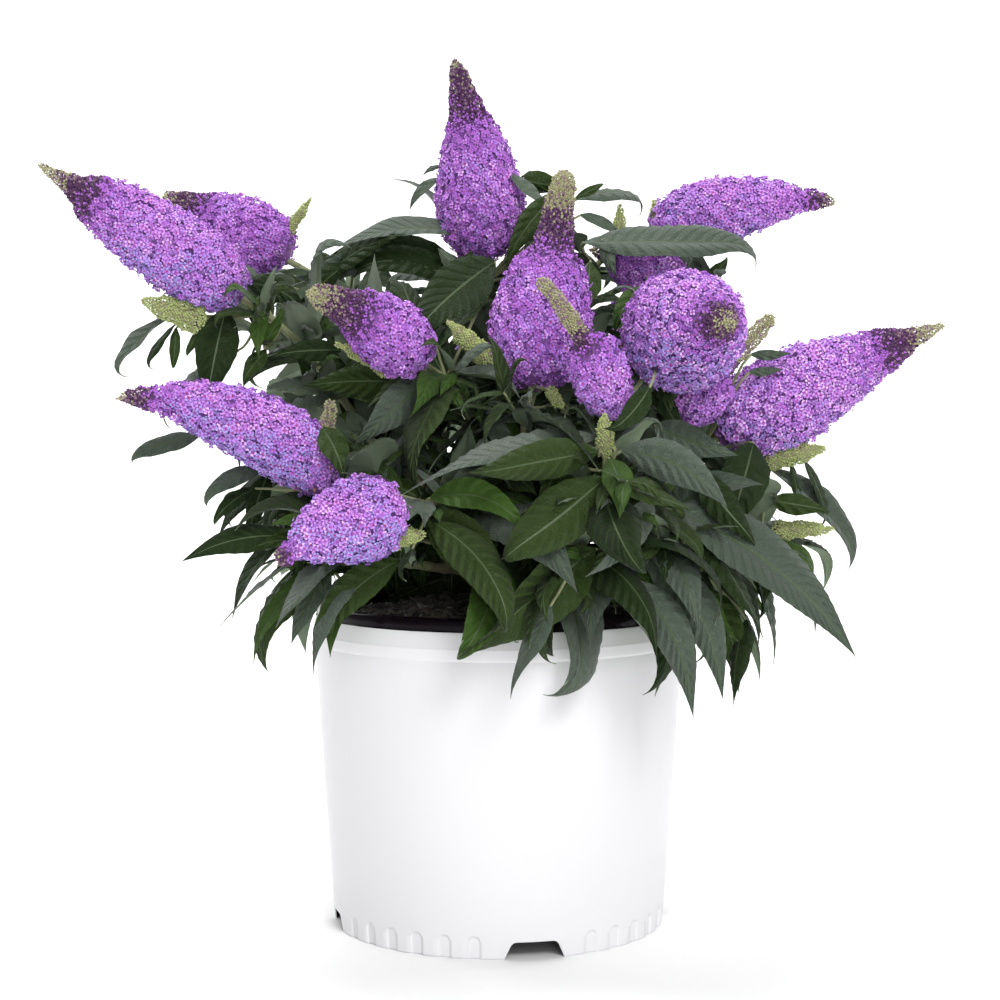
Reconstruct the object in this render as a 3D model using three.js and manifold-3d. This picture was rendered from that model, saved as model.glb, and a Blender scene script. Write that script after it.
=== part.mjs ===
// A butterfly bush in its nursery pot, in millimetres, with Z up. The origin is the centre of the pot's
// underside, where it stands; -Y is the front and +X is to the right of it. The pot holds a plug of bark
// mix. A short woody base stands on the mix, and bare stems fan out of it and fork. Each stem ends where
// a leafy shoot begins, and most shoots end in a panicle of blossom.
import * as THREE from "three";
import { mergeVertices } from "three/addons/utils/BufferGeometryUtils.js";
import Module from "manifold-3d";

const wasm = await Module();
wasm.setup();

const CLEAR = 0.3; // between pieces that touch
const HAIR = 0.01; // edges shorter than this are closed up

// The pot: a tapered plastic can with a collar, a rolled rim, and a floor that dishes down to a foot.
const POT_HEIGHT = 210;
const POT_BASE_R = 107.5;
const WALL_TOP = 184; // where the plain wall meets the collar
const WALL_TOP_R = 120.2;
const WALL_THICK = 2.2;
const RIDGE_R = 121.5; // the widest line of the collar
const RIDGE_Z = 192;
const RIM_R = 118.8; // the rolled rim, outside
const RIM_Z = 202;
const RIM_ROLL = 4.2; // how thick the roll is
const FOOT_R = 35;
const DISH_R = 46;
const FLOOR_UNDER = 11.5;
const FLOOR_THICK = 2.5;
const POT_SEGMENTS = 36; // one facet to each pitch of the flutes

// Along the pot's bottom edge: four drainage notches, and shallow flutes between them, on a 10 degree pitch.
const NOTCH_AZ = -78;
const NOTCHES = 4;
const NOTCH_WIDE = 38;
const NOTCH_NARROW = 26;
const NOTCH_HIGH = 10.5;
const FLUTE_PITCH = 10;
const FLUTES_A_SIDE = [2, 3, 4, 5, 6, 7]; // in pitches from a notch
const FLUTE_WIDE = 8;
const FLUTE_HIGH = 14.5;
const FLUTE_DEEP = 1.2;

// The bark mix and the woody base on it.
const MIX_EDGE_Z = 197;
const MIX_TOP_Z = 203;
const SEAT_R = 20; // the level place under the woody base
const BASE_R = 11;
const BASE_FLARE_R = 16;
const BASE_TOP_Z = 240;

// Stems, leafy shoots and their growth.
const STEM_R = 3.3; // a bare stem where it starts
const SHOOT_R = 2.9; // a leafy shoot where it starts
const TIP_R = 2.2; // a leafy shoot where it ends
const TWIG_R = 1.5;
const STALK_HALF = 1.4; // half the width of a long leaf stalk
const SINK = 1.3; // how far a leaf's root goes past the middle of its stem
const ROOT_ROOM = 8; // leaves of one shoot may meet this near their roots
const RISE = 0.6; // how steeply a stem leaves the woody base, to its way outwards
const STEM_SIDES = 5;
const SHOOT_SIDES = 3;
const STEM_STEPS = 3; // straight lengths in a stem's curve
const SHOOT_SHARE = 0.7; // the share of a stem's whole way that bears leaves
const LEAF_GAP = 30; // between two pairs of leaves
const LEAF_LOW = 142; // length of a leaf low on its shoot
const LEAF_HIGH = 90; // and next to the blossom
const LEAF_SLIM = 0.29; // width to length
const LEAF_KEEL = 0.021; // thickness at the midrib to length
const LEAF_FOLD = 0.16; // how far the midrib lies below the edges, to the width
const SMALL_LEAF = 0.52; // a side twig's leaves, to the pair that the twig grows beside
const PANICLE_SIDES = 8;
const SPIKE_SIDES = 5;
const STALK = 7; // from the end of a shoot to its blossom
const FULLEST = 0.3; // where along a panicle its girth is
const SPIRE = 0.1; // the girth of its tip, to that

const COLOURS = {
  pot: 0xf2f2f4,
  mix: 0x3a302c,
  wood: 0x7d7350,
  leaf: 0x3d5c41,
  blossom: 0xa86fd0,
};

// One row for each shoot. az, reach and height are where it ends: round the pot's axis (0 = right,
// -90 = front), out from it and up from the floor. heading and pitch are the way it points there.
// from and at say which stem it forks from and how far along; without them it grows out of the woody
// base, at the height out, as steeply as rise. bloom is its panicle: length, girth, and how far its
// middle bows upwards.
// sides are smaller panicles and green bud spikes beside it, each placed from the panicle's foot.
const SHOOTS = [
  {
    name: "left_high", az: -166, reach: 166, height: 404, heading: -166, pitch: 33, out: 226,
    bloom: { length: 150, girth: 63, bow: 6 },
    sides: [{ place: [-24, -5, -14], heading: -157, pitch: 18, length: 42, girth: 20 }],
  },
  {
    name: "left_back", az: 154, reach: 159, height: 434, heading: 170, pitch: 27,
    from: "left_high", at: 0.55,
    bloom: { length: 100, girth: 51, bow: 4 },
    sides: [{ place: [-5, 0, 14], heading: 14, pitch: 55, length: 36, girth: 10 }],
  },
  {
    name: "top", az: 110, reach: 32, height: 431, heading: -142, pitch: 80, out: 234, rise: 8,
    bloom: { length: 134, girth: 60, bow: 0 },
  },
  {
    name: "centre", az: -78, reach: 94, height: 348, heading: 50, pitch: 76, out: 226,
    bloom: { length: 139, girth: 63, bow: 2 },
    sides: [
      { place: [-19, 5, 11], heading: -163, pitch: 42, length: 45, girth: 16 },
      { place: [11, -16, -1], heading: -60, pitch: -35, length: 18, girth: 9 },
    ],
  },
  {
    name: "front_right", az: -37, reach: 128, height: 375, heading: -77, pitch: 5, out: 222,
    bloom: { length: 121, girth: 73, bow: 5 },
    sides: [
      { place: [-35, -55, -43], heading: -138, pitch: 53, length: 99, girth: 35 },
      { place: [6, 10, -46], heading: 0, pitch: 46, length: 89, girth: 39 },
    ],
  },
  {
    name: "right_high", az: 26, reach: 114, height: 448, heading: -5, pitch: 11, out: 228,
    bloom: { length: 124, girth: 46, bow: 6 },
    sides: [{ place: [3, 0, 6], heading: 180, pitch: 86, length: 20, girth: 9 }],
  },
  {
    name: "back_mid", az: 5, reach: 118, height: 411, heading: -167, pitch: 24,
    from: "right_high", at: 0.5,
    bloom: { length: 66, girth: 42, bow: 3 },
    sides: [{ place: [-38, 10, 28], heading: 90, pitch: 86, length: 30, girth: 11 }],
  },
  {
    name: "right_low", az: -15, reach: 144, height: 316, heading: -13, pitch: 27, out: 215,
    bloom: { length: 157, girth: 61, bow: 4 },
    sides: [{ place: [27, -6, -14], heading: -22, pitch: 12, length: 42, girth: 16 }],
  },
  {
    name: "left_low", az: -133, reach: 137, height: 290, heading: -167, pitch: 21, out: 215,
    bloom: { length: 146, girth: 51, bow: 18 },
    sides: [{ place: [-16, -10, -6], heading: 51, pitch: 77, length: 58, girth: 30 }],
  },
  {
    name: "front_left", az: -111, reach: 161, height: 276, heading: -143, pitch: -16,
    from: "left_low", at: 0.3,
    bloom: { length: 87, girth: 50, bow: 6 },
    sides: [{ place: [-7, 0, -17], heading: 0, pitch: 14, length: 22, girth: 13 }],
  },
  {
    name: "left_mid", az: -117, reach: 101, height: 363, heading: -137, pitch: 25,
    from: "centre", at: 0.6,
    bloom: { length: 97, girth: 42, bow: 6 },
    sides: [{ place: [-18, -5, -5], heading: -156, pitch: 25, length: 41, girth: 11 }],
  },
  {
    name: "front_low", az: -67, reach: 160, height: 306, heading: -90, pitch: 74, out: 214,
    sides: [{ place: [0, 0, 3], heading: -100, pitch: 70, length: 27, girth: 13 }],
  },
  {
    name: "right_skirt", az: -19, reach: 178, height: 259, heading: -15, pitch: 8,
    from: "right_low", at: 0.55,
    sides: [{ place: [3, 0, 0], heading: -15, pitch: 3, length: 38, girth: 13 }],
  },
  {
    name: "back_left", az: 122, reach: 165, height: 372, heading: 112, pitch: 25, out: 226,
    bloom: { length: 118, girth: 55, bow: 6 },
    sides: [{ place: [18, 6, -10], heading: 60, pitch: 30, length: 38, girth: 13 }],
  },
  {
    name: "back_centre", az: 92, reach: 140, height: 352, heading: 92, pitch: 26, out: 215,
    bloom: { length: 110, girth: 52, bow: 5 },
  },
  {
    name: "back_right", az: 58, reach: 160, height: 365, heading: 68, pitch: 22, out: 219,
    bloom: { length: 120, girth: 58, bow: 6 },
    sides: [{ place: [16, -8, -12], heading: 30, pitch: 25, length: 40, girth: 14 }],
  },
  {
    name: "skirt_front", az: -72, reach: 150, height: 250, heading: -90, pitch: -8,
    from: "front_low", at: 0.5,
  },
  {
    name: "skirt_right", az: -46, reach: 160, height: 256, heading: -40, pitch: 4,
    from: "front_right", at: 0.45,
  },
  {
    name: "skirt_left", az: -134, reach: 158, height: 244, heading: -140, pitch: -5,
    from: "left_low", at: 0.65,
  },
  {
    name: "skirt_back_left", az: 150, reach: 155, height: 262, heading: 155, pitch: 5,
    from: "back_left", at: 0.4,
  },
  {
    name: "skirt_back_right", az: 34, reach: 158, height: 262, heading: 30, pitch: 5,
    from: "back_right", at: 0.4,
  },
];

// The leaves that give the bush its outline, each on a stalk from its shoot: where the blade starts,
// the way it points on the whole, its length and width, and how far it bends down from end to end.
const KEY_LEAVES = {
  right_high: [
    { place: [54, -20, 441], heading: -11, pitch: -6, length: 130, width: 24, droop: 20 },
  ],
  top: [
    { place: [50, 0, 462], heading: 15, pitch: -4, length: 62, width: 9, droop: 75 },
    { place: [39, -5, 474], heading: -164, pitch: -52, length: 62, width: 17, droop: 30 },
    { place: [-19, 43, 416], heading: 170, pitch: 30, length: 96, width: 14, droop: 100 },
    { place: [-24, 36, 420], heading: -165, pitch: 10, length: 104, width: 22, droop: 60 },
  ],
  left_back: [{ place: [-118, 10, 418], heading: -20, pitch: 24, length: 70, width: 14, droop: 40 }],
  left_high: [
    { place: [-148, -50, 384], heading: -114, pitch: -66, length: 80, width: 27, droop: 30 },
    { place: [-165, -36, 372], heading: -163, pitch: -40, length: 78, width: 12, droop: 35 },
  ],
  left_mid: [{ place: [-2, -40, 428], heading: -134, pitch: -38, length: 95, width: 34, droop: 35 }],
  right_low: [
    { place: [158, -68, 314], heading: -112, pitch: -59, length: 76, width: 30, droop: 35 },
    { place: [172, -40, 290], heading: -25, pitch: -46, length: 88, width: 14, droop: 30 },
  ],
  front_low: [
    { place: [58, -158, 312], heading: -157, pitch: -15, length: 84, width: 24, droop: 25 },
    { place: [71, -158, 312], heading: -26, pitch: -15, length: 76, width: 24, droop: 35 },
    { place: [64, -163, 308], heading: -70, pitch: -46, length: 44, width: 18, droop: 30 },
    { place: [90, -150, 283], heading: -125, pitch: -45, length: 72, width: 20, droop: 35 },
  ],
  skirt_front: [
    { place: [57, -138, 254], heading: -158, pitch: -48, length: 106, width: 40, droop: 45 },
    { place: [30, -158, 222], heading: -120, pitch: -58, length: 62, width: 14, droop: 35 },
  ],
  skirt_right: [
    { place: [100, -112, 282], heading: -12, pitch: -33, length: 150, width: 33, droop: 42 },
    { place: [74, -138, 236], heading: -39, pitch: -49, length: 98, width: 23, droop: 60 },
    { place: [86, -128, 248], heading: -33, pitch: -47, length: 104, width: 22, droop: 60 },
    { place: [122, -102, 228], heading: -38, pitch: -58, length: 72, width: 20, droop: 50 },
  ],
  front_left: [
    { place: [-42, -142, 272], heading: -33, pitch: -34, length: 106, width: 22, droop: 30 },
    { place: [-40, -140, 284], heading: -28, pitch: 2, length: 76, width: 17, droop: 30 },
  ],
  back_centre: [
    { place: [-8, 72, 258], heading: 96, pitch: -30, length: 132, width: 36, droop: 50 },
    { place: [20, 66, 262], heading: 62, pitch: -34, length: 124, width: 33, droop: 50 },
    { place: [-30, 62, 264], heading: 128, pitch: -34, length: 126, width: 34, droop: 50 },
  ],
  skirt_left: [
    { place: [-118, -118, 262], heading: -156, pitch: -2, length: 78, width: 13, droop: 30 },
    { place: [-97, -138, 241], heading: -147, pitch: -41, length: 82, width: 22, droop: 60 },
    { place: [-76, -146, 247], heading: -138, pitch: -46, length: 84, width: 23, droop: 45 },
    { place: [-122, -128, 242], heading: -152, pitch: -39, length: 62, width: 12, droop: 45 },
  ],
};

// ---- directions, dice and paths ----

const UP = new THREE.Vector3(0, 0, 1);
const rad = THREE.MathUtils.degToRad;
const lerp = THREE.MathUtils.lerp;

const polar = (az, reach, height) =>
  new THREE.Vector3(reach * Math.cos(rad(az)), reach * Math.sin(rad(az)), height);

const pointing = (heading, pitch) => polar(heading, Math.cos(rad(pitch)), Math.sin(rad(pitch)));

const along = (point, direction, distance) => point.clone().addScaledVector(direction, distance);

// A seeded row of numbers between a low and a high value, the same on every run.
function dice(seed) {
  const span = 4294967296;
  let state = (seed * 2654435761 + 12345) % span;
  return (low, high) => {
    state = (state * 1664525 + 1013904223) % span;
    return lerp(low, high, state / span);
  };
}

// A direction square to this one, level if it can be.
const crossways = (direction) =>
  direction.clone().cross(Math.abs(direction.z) < 0.95 ? UP : new THREE.Vector3(0, 1, 0)).normalize();

// A stem's way from one place and direction to another.
function wayBetween(start, setOut, end, arrive) {
  const far = start.distanceTo(end);
  const leave = along(start, setOut, 0.42 * far);
  return new THREE.CubicBezierCurve3(start, leave, along(end, arrive, -0.36 * far), end);
}

// ---- solids ----

function solidOf(geometry) {
  const bare = new THREE.BufferGeometry().setAttribute("position", geometry.getAttribute("position"));
  bare.setIndex(geometry.index);
  const merged = mergeVertices(bare, 1e-4);
  return new wasm.Manifold(
    new wasm.Mesh({
      numProp: 3,
      vertProperties: new Float32Array(merged.attributes.position.array),
      triVerts: new Uint32Array(merged.index.array),
    }),
  );
}

// The largest outer body of a solid, rid of hair-thin faces. Loose scraps and sealed hollows are left out.
const wholeOf = (solid) =>
  solid
    .simplify(HAIR)
    .decompose()
    .reduce((best, body) => (body.volume() > best.volume() ? body : best));

// A closed body through rings of points, each anticlockwise from its far end. A ring may be one point.
function loft(rings) {
  const corners = rings.flat();
  const faces = [];
  let start = 0;
  rings.slice(1).forEach((next, k) => {
    const ring = rings[k];
    const after = start + ring.length;
    const count = Math.max(ring.length, next.length);
    for (let i = 0; i < count; i++) {
      const j = (i + 1) % count;
      if (next.length > 1) faces.push(start + (ring.length > 1 ? i : 0), after + j, after + i);
      if (ring.length > 1) faces.push(start + i, start + j, after + (next.length > 1 ? j : 0));
    }
    start = after;
  });
  const close = (first, count, far) => {
    for (let i = 1; i + 1 < count; i++) {
      faces.push(first, first + (far ? i : i + 1), first + (far ? i + 1 : i));
    }
  };
  close(0, rings[0].length, false);
  close(start, rings.at(-1).length, true);
  const geometry = new THREE.BufferGeometry();
  const numbers = corners.flatMap((corner) => corner.toArray());
  geometry.setAttribute("position", new THREE.Float32BufferAttribute(numbers, 3));
  return geometry.setIndex(faces);
}

// A round limb through points, its radius given for each of them. directions are the way it points at
// each, and knobs makes the radius uneven.
function limb(points, radii, sides, directions, knobs = () => 1) {
  let side = null;
  const rings = points.map((point, i) => {
    const direction = directions?.[i] ?? points.at(-1).clone().sub(points[0]).normalize();
    side = side ? along(side, direction, -side.dot(direction)).normalize() : crossways(direction);
    const over = direction.clone().cross(side);
    return Array.from({ length: sides }, (_, k) => {
      const turn = (2 * Math.PI * k) / sides;
      const r = radii[i] * knobs(i, k);
      return along(along(point, side, r * Math.cos(turn)), over, r * Math.sin(turn));
    });
  });
  return solidOf(loft(rings));
}

// A tapering limb along a share of a way.
function limbAlong(way, from, to, radii, sides) {
  const shares = radii.map((_, i) => lerp(from, to, i / (radii.length - 1)));
  const points = shares.map((share) => way.getPointAt(share));
  return limb(points, radii, sides, shares.map((share) => way.getTangentAt(share)));
}

const evenly = (from, to, steps) => Array.from({ length: steps + 1 }, (_, i) => lerp(from, to, i / steps));

// A leaf blade: three-cornered sections along a midrib that bends down as it goes, ending in a point.
// direction is the way it sets out and face the side that looks up. Its root has a thick foot of its own.
const BLADE_CUTS = { long: [0.24, 0.64], short: [0.4] };
const bladeWidth = (share) => Math.sin(Math.PI * share ** 0.72);

function leaf(root, direction, face, length, width, droop, joint) {
  const side = direction.clone().cross(face).normalize();
  const heading = direction.clone();
  const section = (point, half, lift, deep) => {
    const under = heading.clone().cross(side);
    const middle = along(point, under, -lift);
    return [along(middle, side, half), along(point, under, deep), along(middle, side, -half)];
  };
  const cuts = length > 62 ? BLADE_CUTS.long : BLADE_CUTS.short;
  const stops = [0, ...cuts, 1];
  const middle = along(root, direction, joint ? 0 : -SINK);
  const rings = joint ? [section(joint, STALK_HALF, 0, STALK_HALF)] : [];
  stops.forEach((share, k) => {
    if (k) {
      const step = share - stops[k - 1];
      heading.addScaledVector(UP, -rad(droop) * step).normalize();
      side.addScaledVector(heading, -side.dot(heading)).normalize();
      middle.addScaledVector(heading, step * length);
    }
    if (share === 0 && joint) rings.push(section(middle, STALK_HALF, 0, STALK_HALF));
    else if (share % 1 === 0) rings.push([middle.clone()]);
    else {
      const half = (width / 2) * bladeWidth(share);
      rings.push(section(middle, half, LEAF_FOLD * 2 * half, LEAF_KEEL * length));
    }
  });
  return solidOf(loft(rings));
}

// ---- the pot, its mix and the woody base ----

const wallR = (z) => lerp(POT_BASE_R, WALL_TOP_R, z / WALL_TOP);

// A body turned on the pot's axis from a profile of [radius, height] that starts and ends on the axis.
function turned(profile, segments) {
  const points = profile.map(([r, z]) => new THREE.Vector2(r, z));
  const body = new THREE.LatheGeometry(points, segments).rotateX(Math.PI / 2);
  return solidOf(body.rotateZ(rad(NOTCH_AZ + FLUTE_PITCH / 2)));
}

function potSolid() {
  const floorTop = FLOOR_UNDER + FLOOR_THICK;
  let pot = turned(
    [
      [0, 0],
      [FOOT_R, 0],
      [DISH_R, FLOOR_UNDER],
      [wallR(FLOOR_UNDER) - WALL_THICK, FLOOR_UNDER],
      [wallR(0) - WALL_THICK, 0],
      [wallR(0), 0],
      [WALL_TOP_R, WALL_TOP],
      [WALL_TOP_R + 0.7, WALL_TOP + 1.5],
      [RIDGE_R, RIDGE_Z],
      [RIM_R + 0.6, RIM_Z - 0.5],
      [RIM_R - 0.4, RIM_Z],
      [RIM_R, POT_HEIGHT - 2.5],
      [RIM_R - 1.2, POT_HEIGHT],
      [RIM_R - RIM_ROLL + 1.2, POT_HEIGHT],
      [RIM_R - RIM_ROLL, POT_HEIGHT - 2.5],
      [wallR(WALL_TOP) - WALL_THICK, RIM_Z - 6],
      [wallR(floorTop) - WALL_THICK, floorTop],
      [DISH_R + 1, floorTop],
      [FOOT_R + 1, FLOOR_THICK],
      [0, FLOOR_THICK],
    ],
    POT_SEGMENTS,
  );
  const notch = new THREE.Shape([
    new THREE.Vector2(-NOTCH_WIDE / 2, -1),
    new THREE.Vector2(NOTCH_WIDE / 2, -1),
    new THREE.Vector2(NOTCH_NARROW / 2 + 2, NOTCH_HIGH - 2),
    new THREE.Vector2(NOTCH_NARROW / 2 - 1, NOTCH_HIGH),
    new THREE.Vector2(1 - NOTCH_NARROW / 2, NOTCH_HIGH),
    new THREE.Vector2(-NOTCH_NARROW / 2 - 2, NOTCH_HIGH - 2),
  ]);
  const arch = [0, 60, 120, 180].map((turn) => {
    const edge = polar(turn, FLUTE_WIDE / 2, 0);
    return new THREE.Vector2(edge.x, edge.y + FLUTE_HIGH - FLUTE_WIDE / 2);
  });
  const flute = new THREE.Shape([
    new THREE.Vector2(-FLUTE_WIDE / 2, -1),
    new THREE.Vector2(FLUTE_WIDE / 2, -1),
    ...arch,
  ]);
  const lean = Math.atan((WALL_TOP_R - POT_BASE_R) / WALL_TOP);
  for (let n = 0; n < NOTCHES; n++) {
    const az = NOTCH_AZ + (360 / NOTCHES) * n;
    pot = pot.subtract(edgeCutter(notch, POT_BASE_R - 15, 30, 0, az));
    for (const pitches of FLUTES_A_SIDE) {
      const cutter = edgeCutter(flute, POT_BASE_R - FLUTE_DEEP, 6, lean, az + pitches * FLUTE_PITCH);
      pot = pot.subtract(cutter);
    }
  }
  return pot;
}

// An outline across the pot's bottom edge, pushed outwards from a radius and leaning with the wall.
function edgeCutter(outline, radius, depth, lean, az) {
  const cutter = new THREE.ExtrudeGeometry(outline, { depth, bevelEnabled: false });
  cutter.rotateX(Math.PI / 2 - lean);
  cutter.translate(0, -radius, 0);
  return solidOf(cutter.rotateZ(rad(az + 90)));
}

function mixSolid() {
  const floorTop = FLOOR_UNDER + FLOOR_THICK;
  const gap = 1.4 * CLEAR;
  const inside = (z) => wallR(z) - WALL_THICK - gap;
  return turned(
    [
      [0, FLOOR_THICK + gap],
      [FOOT_R + 1 - gap, FLOOR_THICK + gap],
      [DISH_R + 1 - gap, floorTop + gap],
      [inside(floorTop), floorTop + gap],
      [inside(WALL_TOP) - 1, MIX_EDGE_Z - 6],
      [inside(WALL_TOP) - 4, MIX_EDGE_Z],
      [0.6 * POT_BASE_R, MIX_TOP_Z - 1.5],
      [SEAT_R, MIX_TOP_Z],
      [0, MIX_TOP_Z],
    ],
    POT_SEGMENTS / 2,
  );
}

// The woody base flares where it meets the mix. stand is how much larger a copy is made all round.
function baseSolid(stand = 0) {
  const foot = MIX_TOP_Z + CLEAR;
  return turned(
    [
      [0, foot - stand],
      [BASE_FLARE_R + stand, foot - stand],
      [BASE_R + 1.5 + stand, foot + 5],
      [BASE_R + stand, foot + 12],
      [0.85 * BASE_R + stand, BASE_TOP_Z - 8],
      [0.5 * BASE_R + stand, BASE_TOP_Z - 1 + stand],
      [0, BASE_TOP_Z + stand],
    ],
    12,
  );
}

// ---- stems and shoots ----

const shoots = SHOOTS.map((row, number) => ({ ...row, number, pieces: [] }));
const shootNamed = (name) => shoots.find((shoot) => shoot.name === name);

// Each shoot's whole way, from the fork or the woody base to its end. The lower share of it is bare.
for (const shoot of shoots) {
  const end = polar(shoot.az, shoot.reach, shoot.height);
  const arrive = pointing(shoot.heading, shoot.pitch);
  const parent = shoot.from && shootNamed(shoot.from);
  const start = parent
    ? parent.way.getPointAt((1 - SHOOT_SHARE) * shoot.at)
    : new THREE.Vector3(0, 0, shoot.out);
  const outwards = end.clone().sub(start).normalize();
  const setOut = outwards.clone();
  if (!parent) setOut.setZ(0).normalize().addScaledVector(UP, shoot.rise ?? RISE).normalize();
  shoot.way = wayBetween(start, setOut, shoot.bloom ? along(end, arrive, -STALK) : end, arrive);
  shoot.long = shoot.way.getLength();
  shoot.end = end;
  shoot.arrive = arrive;
  shoot.bare = 1 - SHOOT_SHARE;
}

function stemSolid(shoot, stand = 0) {
  const from = shoot.from ? lerp(STEM_R, SHOOT_R, shoot.at) - 0.3 : STEM_R;
  const radii = evenly(from, SHOOT_R, STEM_STEPS).map((r) => r + stand);
  return limbAlong(shoot.way, 0, shoot.bare + stand / shoot.long, radii, STEM_SIDES);
}

// A panicle's body: fullest near its foot, drawn out to a slim tip, and knobbly with clusters.
function panicleR(share) {
  if (share < FULLEST) return Math.sin((Math.PI / 2) * Math.sqrt(share / FULLEST));
  return Math.max(SPIRE, 1 - ((share - FULLEST) / (1 - FULLEST)) ** 1.25);
}

function panicle(foot, direction, length, girth, bow, sides, roll) {
  const tip = along(foot, direction, length);
  const rise = UP.clone().addScaledVector(direction, -direction.z);
  const middle = foot.clone().lerp(tip, 0.5).addScaledVector(rise, 2 * bow);
  const axis = new THREE.QuadraticBezierCurve3(foot, middle, tip);
  const shares = sides > SPIKE_SIDES ? [0.01, 0.1, 0.28, 0.5, 0.68, 0.84, 1] : [0.02, 0.22, 0.6, 1];
  const points = shares.map((share) => axis.getPoint(share));
  const directions = shares.map((share) => axis.getTangent(share));
  const radii = shares.map((share) => (girth / 2) * panicleR(share));
  return limb(points, radii, sides, directions, () => roll(0.95, 1.06));
}

// The smaller panicles and bud spikes at a shoot's end, each on a twig of its own.
function sideBodies(shoot, roll) {
  const from = along(shoot.end, shoot.arrive, shoot.bloom ? 3 : -2);
  return (shoot.sides ?? []).flatMap((side) => {
    const place = shoot.end.clone().add(new THREE.Vector3(...side.place));
    const direction = pointing(side.heading, side.pitch);
    const sides = side.girth > 25 ? PANICLE_SIDES : SPIKE_SIDES;
    return [
      limb([from, along(place, direction, 4)], [TWIG_R, TWIG_R], 3),
      panicle(place, direction, side.length, side.girth, 0, sides, roll),
    ];
  });
}

// All the blossom at a shoot's end: the stalk, the panicle on it, and what grows beside them.
function blossomSolid(shoot) {
  const roll = dice(900 + shoot.number);
  const { length, girth, bow } = shoot.bloom;
  const stalk = [along(shoot.end, shoot.arrive, CLEAR - STALK), along(shoot.end, shoot.arrive, 12)];
  return wasm.Manifold.union([
    limb(stalk, [TIP_R, TIP_R], SHOOT_SIDES),
    panicle(shoot.end, shoot.arrive, length, girth, bow, PANICLE_SIDES, roll),
    ...sideBodies(shoot, roll),
  ]);
}

// ---- what a leaf or twig must keep clear of ----

const apart = (a, b) => [0, 1, 2].some((i) => a.min[i] > b.max[i] + CLEAR || b.min[i] > a.max[i] + CLEAR);

const withBox = (solid) => ({ solid, box: solid.boundingBox() });

const grow = (shoot, solid) => shoot.pieces.push(withBox(solid));

const pot = potSolid();
const mix = mixSolid();
const base = baseSolid();
const fixed = [pot, mix, base].map(withBox);

for (const shoot of shoots) {
  const from = shoot.from ? stemSolid(shootNamed(shoot.from), 1.3 * CLEAR) : baseSolid(1.3 * CLEAR);
  shoot.stem = wholeOf(stemSolid(shoot).subtract(from));
  fixed.push(withBox(shoot.stem));
}

for (const shoot of shoots) {
  const first = shoot.bare + CLEAR / shoot.long;
  grow(shoot, limbAlong(shoot.way, first, 1, evenly(SHOOT_R, TIP_R, STEM_STEPS), SHOOT_SIDES));
  if (shoot.bloom) {
    shoot.blossom = blossomSolid(shoot);
    fixed.push(withBox(shoot.blossom));
  } else sideBodies(shoot, dice(900 + shoot.number)).forEach((body) => grow(shoot, body));
}

// Whether a new leaf or twig stays clear of all that is fixed and of the other shoots' foliage, and
// meets its own shoot's only round its root.
function clearOfAll(solid, shoot, root) {
  const box = solid.boundingBox();
  const near = (other) => !apart(box, other.box) && solid.minGap(other.solid, CLEAR) < CLEAR;
  const crosses = (own) => {
    if (apart(box, own.box)) return false;
    const common = solid.intersect(own.solid);
    if (common.isEmpty()) return false;
    const { min, max } = common.boundingBox();
    return root.toArray().some((at, i) => at - min[i] > ROOT_ROOM || max[i] - at > ROOT_ROOM);
  };
  if (fixed.some(near)) return false;
  if (shoots.some((other) => other !== shoot && other.pieces.some(near))) return false;
  return !shoot.pieces.some(crosses);
}

// ---- leaves ----

// A blade that meets something is tried lower, turned and shorter before it is left out.
const TRIES = [
  [0, 0, 1],
  [-12, 0, 1],
  [12, 0, 1],
  [0, 14, 0.92],
  [0, -14, 0.92],
  [-22, 10, 0.84],
  [20, -10, 0.84],
  [0, 0, 0.7],
];

function growLeaf(shoot, root, direction, face, length, width, droop, tries, joint) {
  for (const [tilt, swing, share] of TRIES.slice(0, tries)) {
    const way = direction.clone().applyAxisAngle(UP, rad(swing));
    way.applyAxisAngle(crossways(way), rad(tilt));
    const blade = leaf(root, way, face, length * share, width * share, droop, joint);
    if (clearOfAll(blade, shoot, joint ?? root)) {
      grow(shoot, blade);
      return;
    }
  }
}

// The nearest place on a shoot's leafy way to a point, no further along it than a share.
function nearestOn(shoot, point, furthest) {
  const places = evenly(shoot.bare + 0.05, furthest, 24).map((share) => shoot.way.getPointAt(share));
  return places.reduce((best, p) => (p.distanceTo(point) < best.distanceTo(point) ? p : best));
}

for (const shoot of shoots) {
  (KEY_LEAVES[shoot.name] ?? []).forEach((key, n) => {
    const place = new THREE.Vector3(...key.place);
    const direction = pointing(key.heading, key.pitch + key.droop / 2);
    const joint = nearestOn(shoot, place, 0.97 - 0.02 * n);
    const side = direction.clone().cross(UP);
    const face = side.cross(direction).normalize();
    growLeaf(shoot, place, direction, face, key.length, key.width, key.droop, 5, joint);
  });
}

// Leaves stand in pairs along a shoot, each pair a quarter turn from the last. A small pair crosses
// every second one, and beside every third a short twig bears leaves of its own.
function pairsOf(shoot) {
  const count = Math.floor((SHOOT_SHARE * shoot.long) / LEAF_GAP);
  return Array.from({ length: count }, (_, k) => {
    const share = (k + 0.55) / count;
    const u = lerp(shoot.bare, 1, share);
    return { k, share, point: shoot.way.getPointAt(u), tangent: shoot.way.getTangentAt(u) };
  });
}

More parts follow.
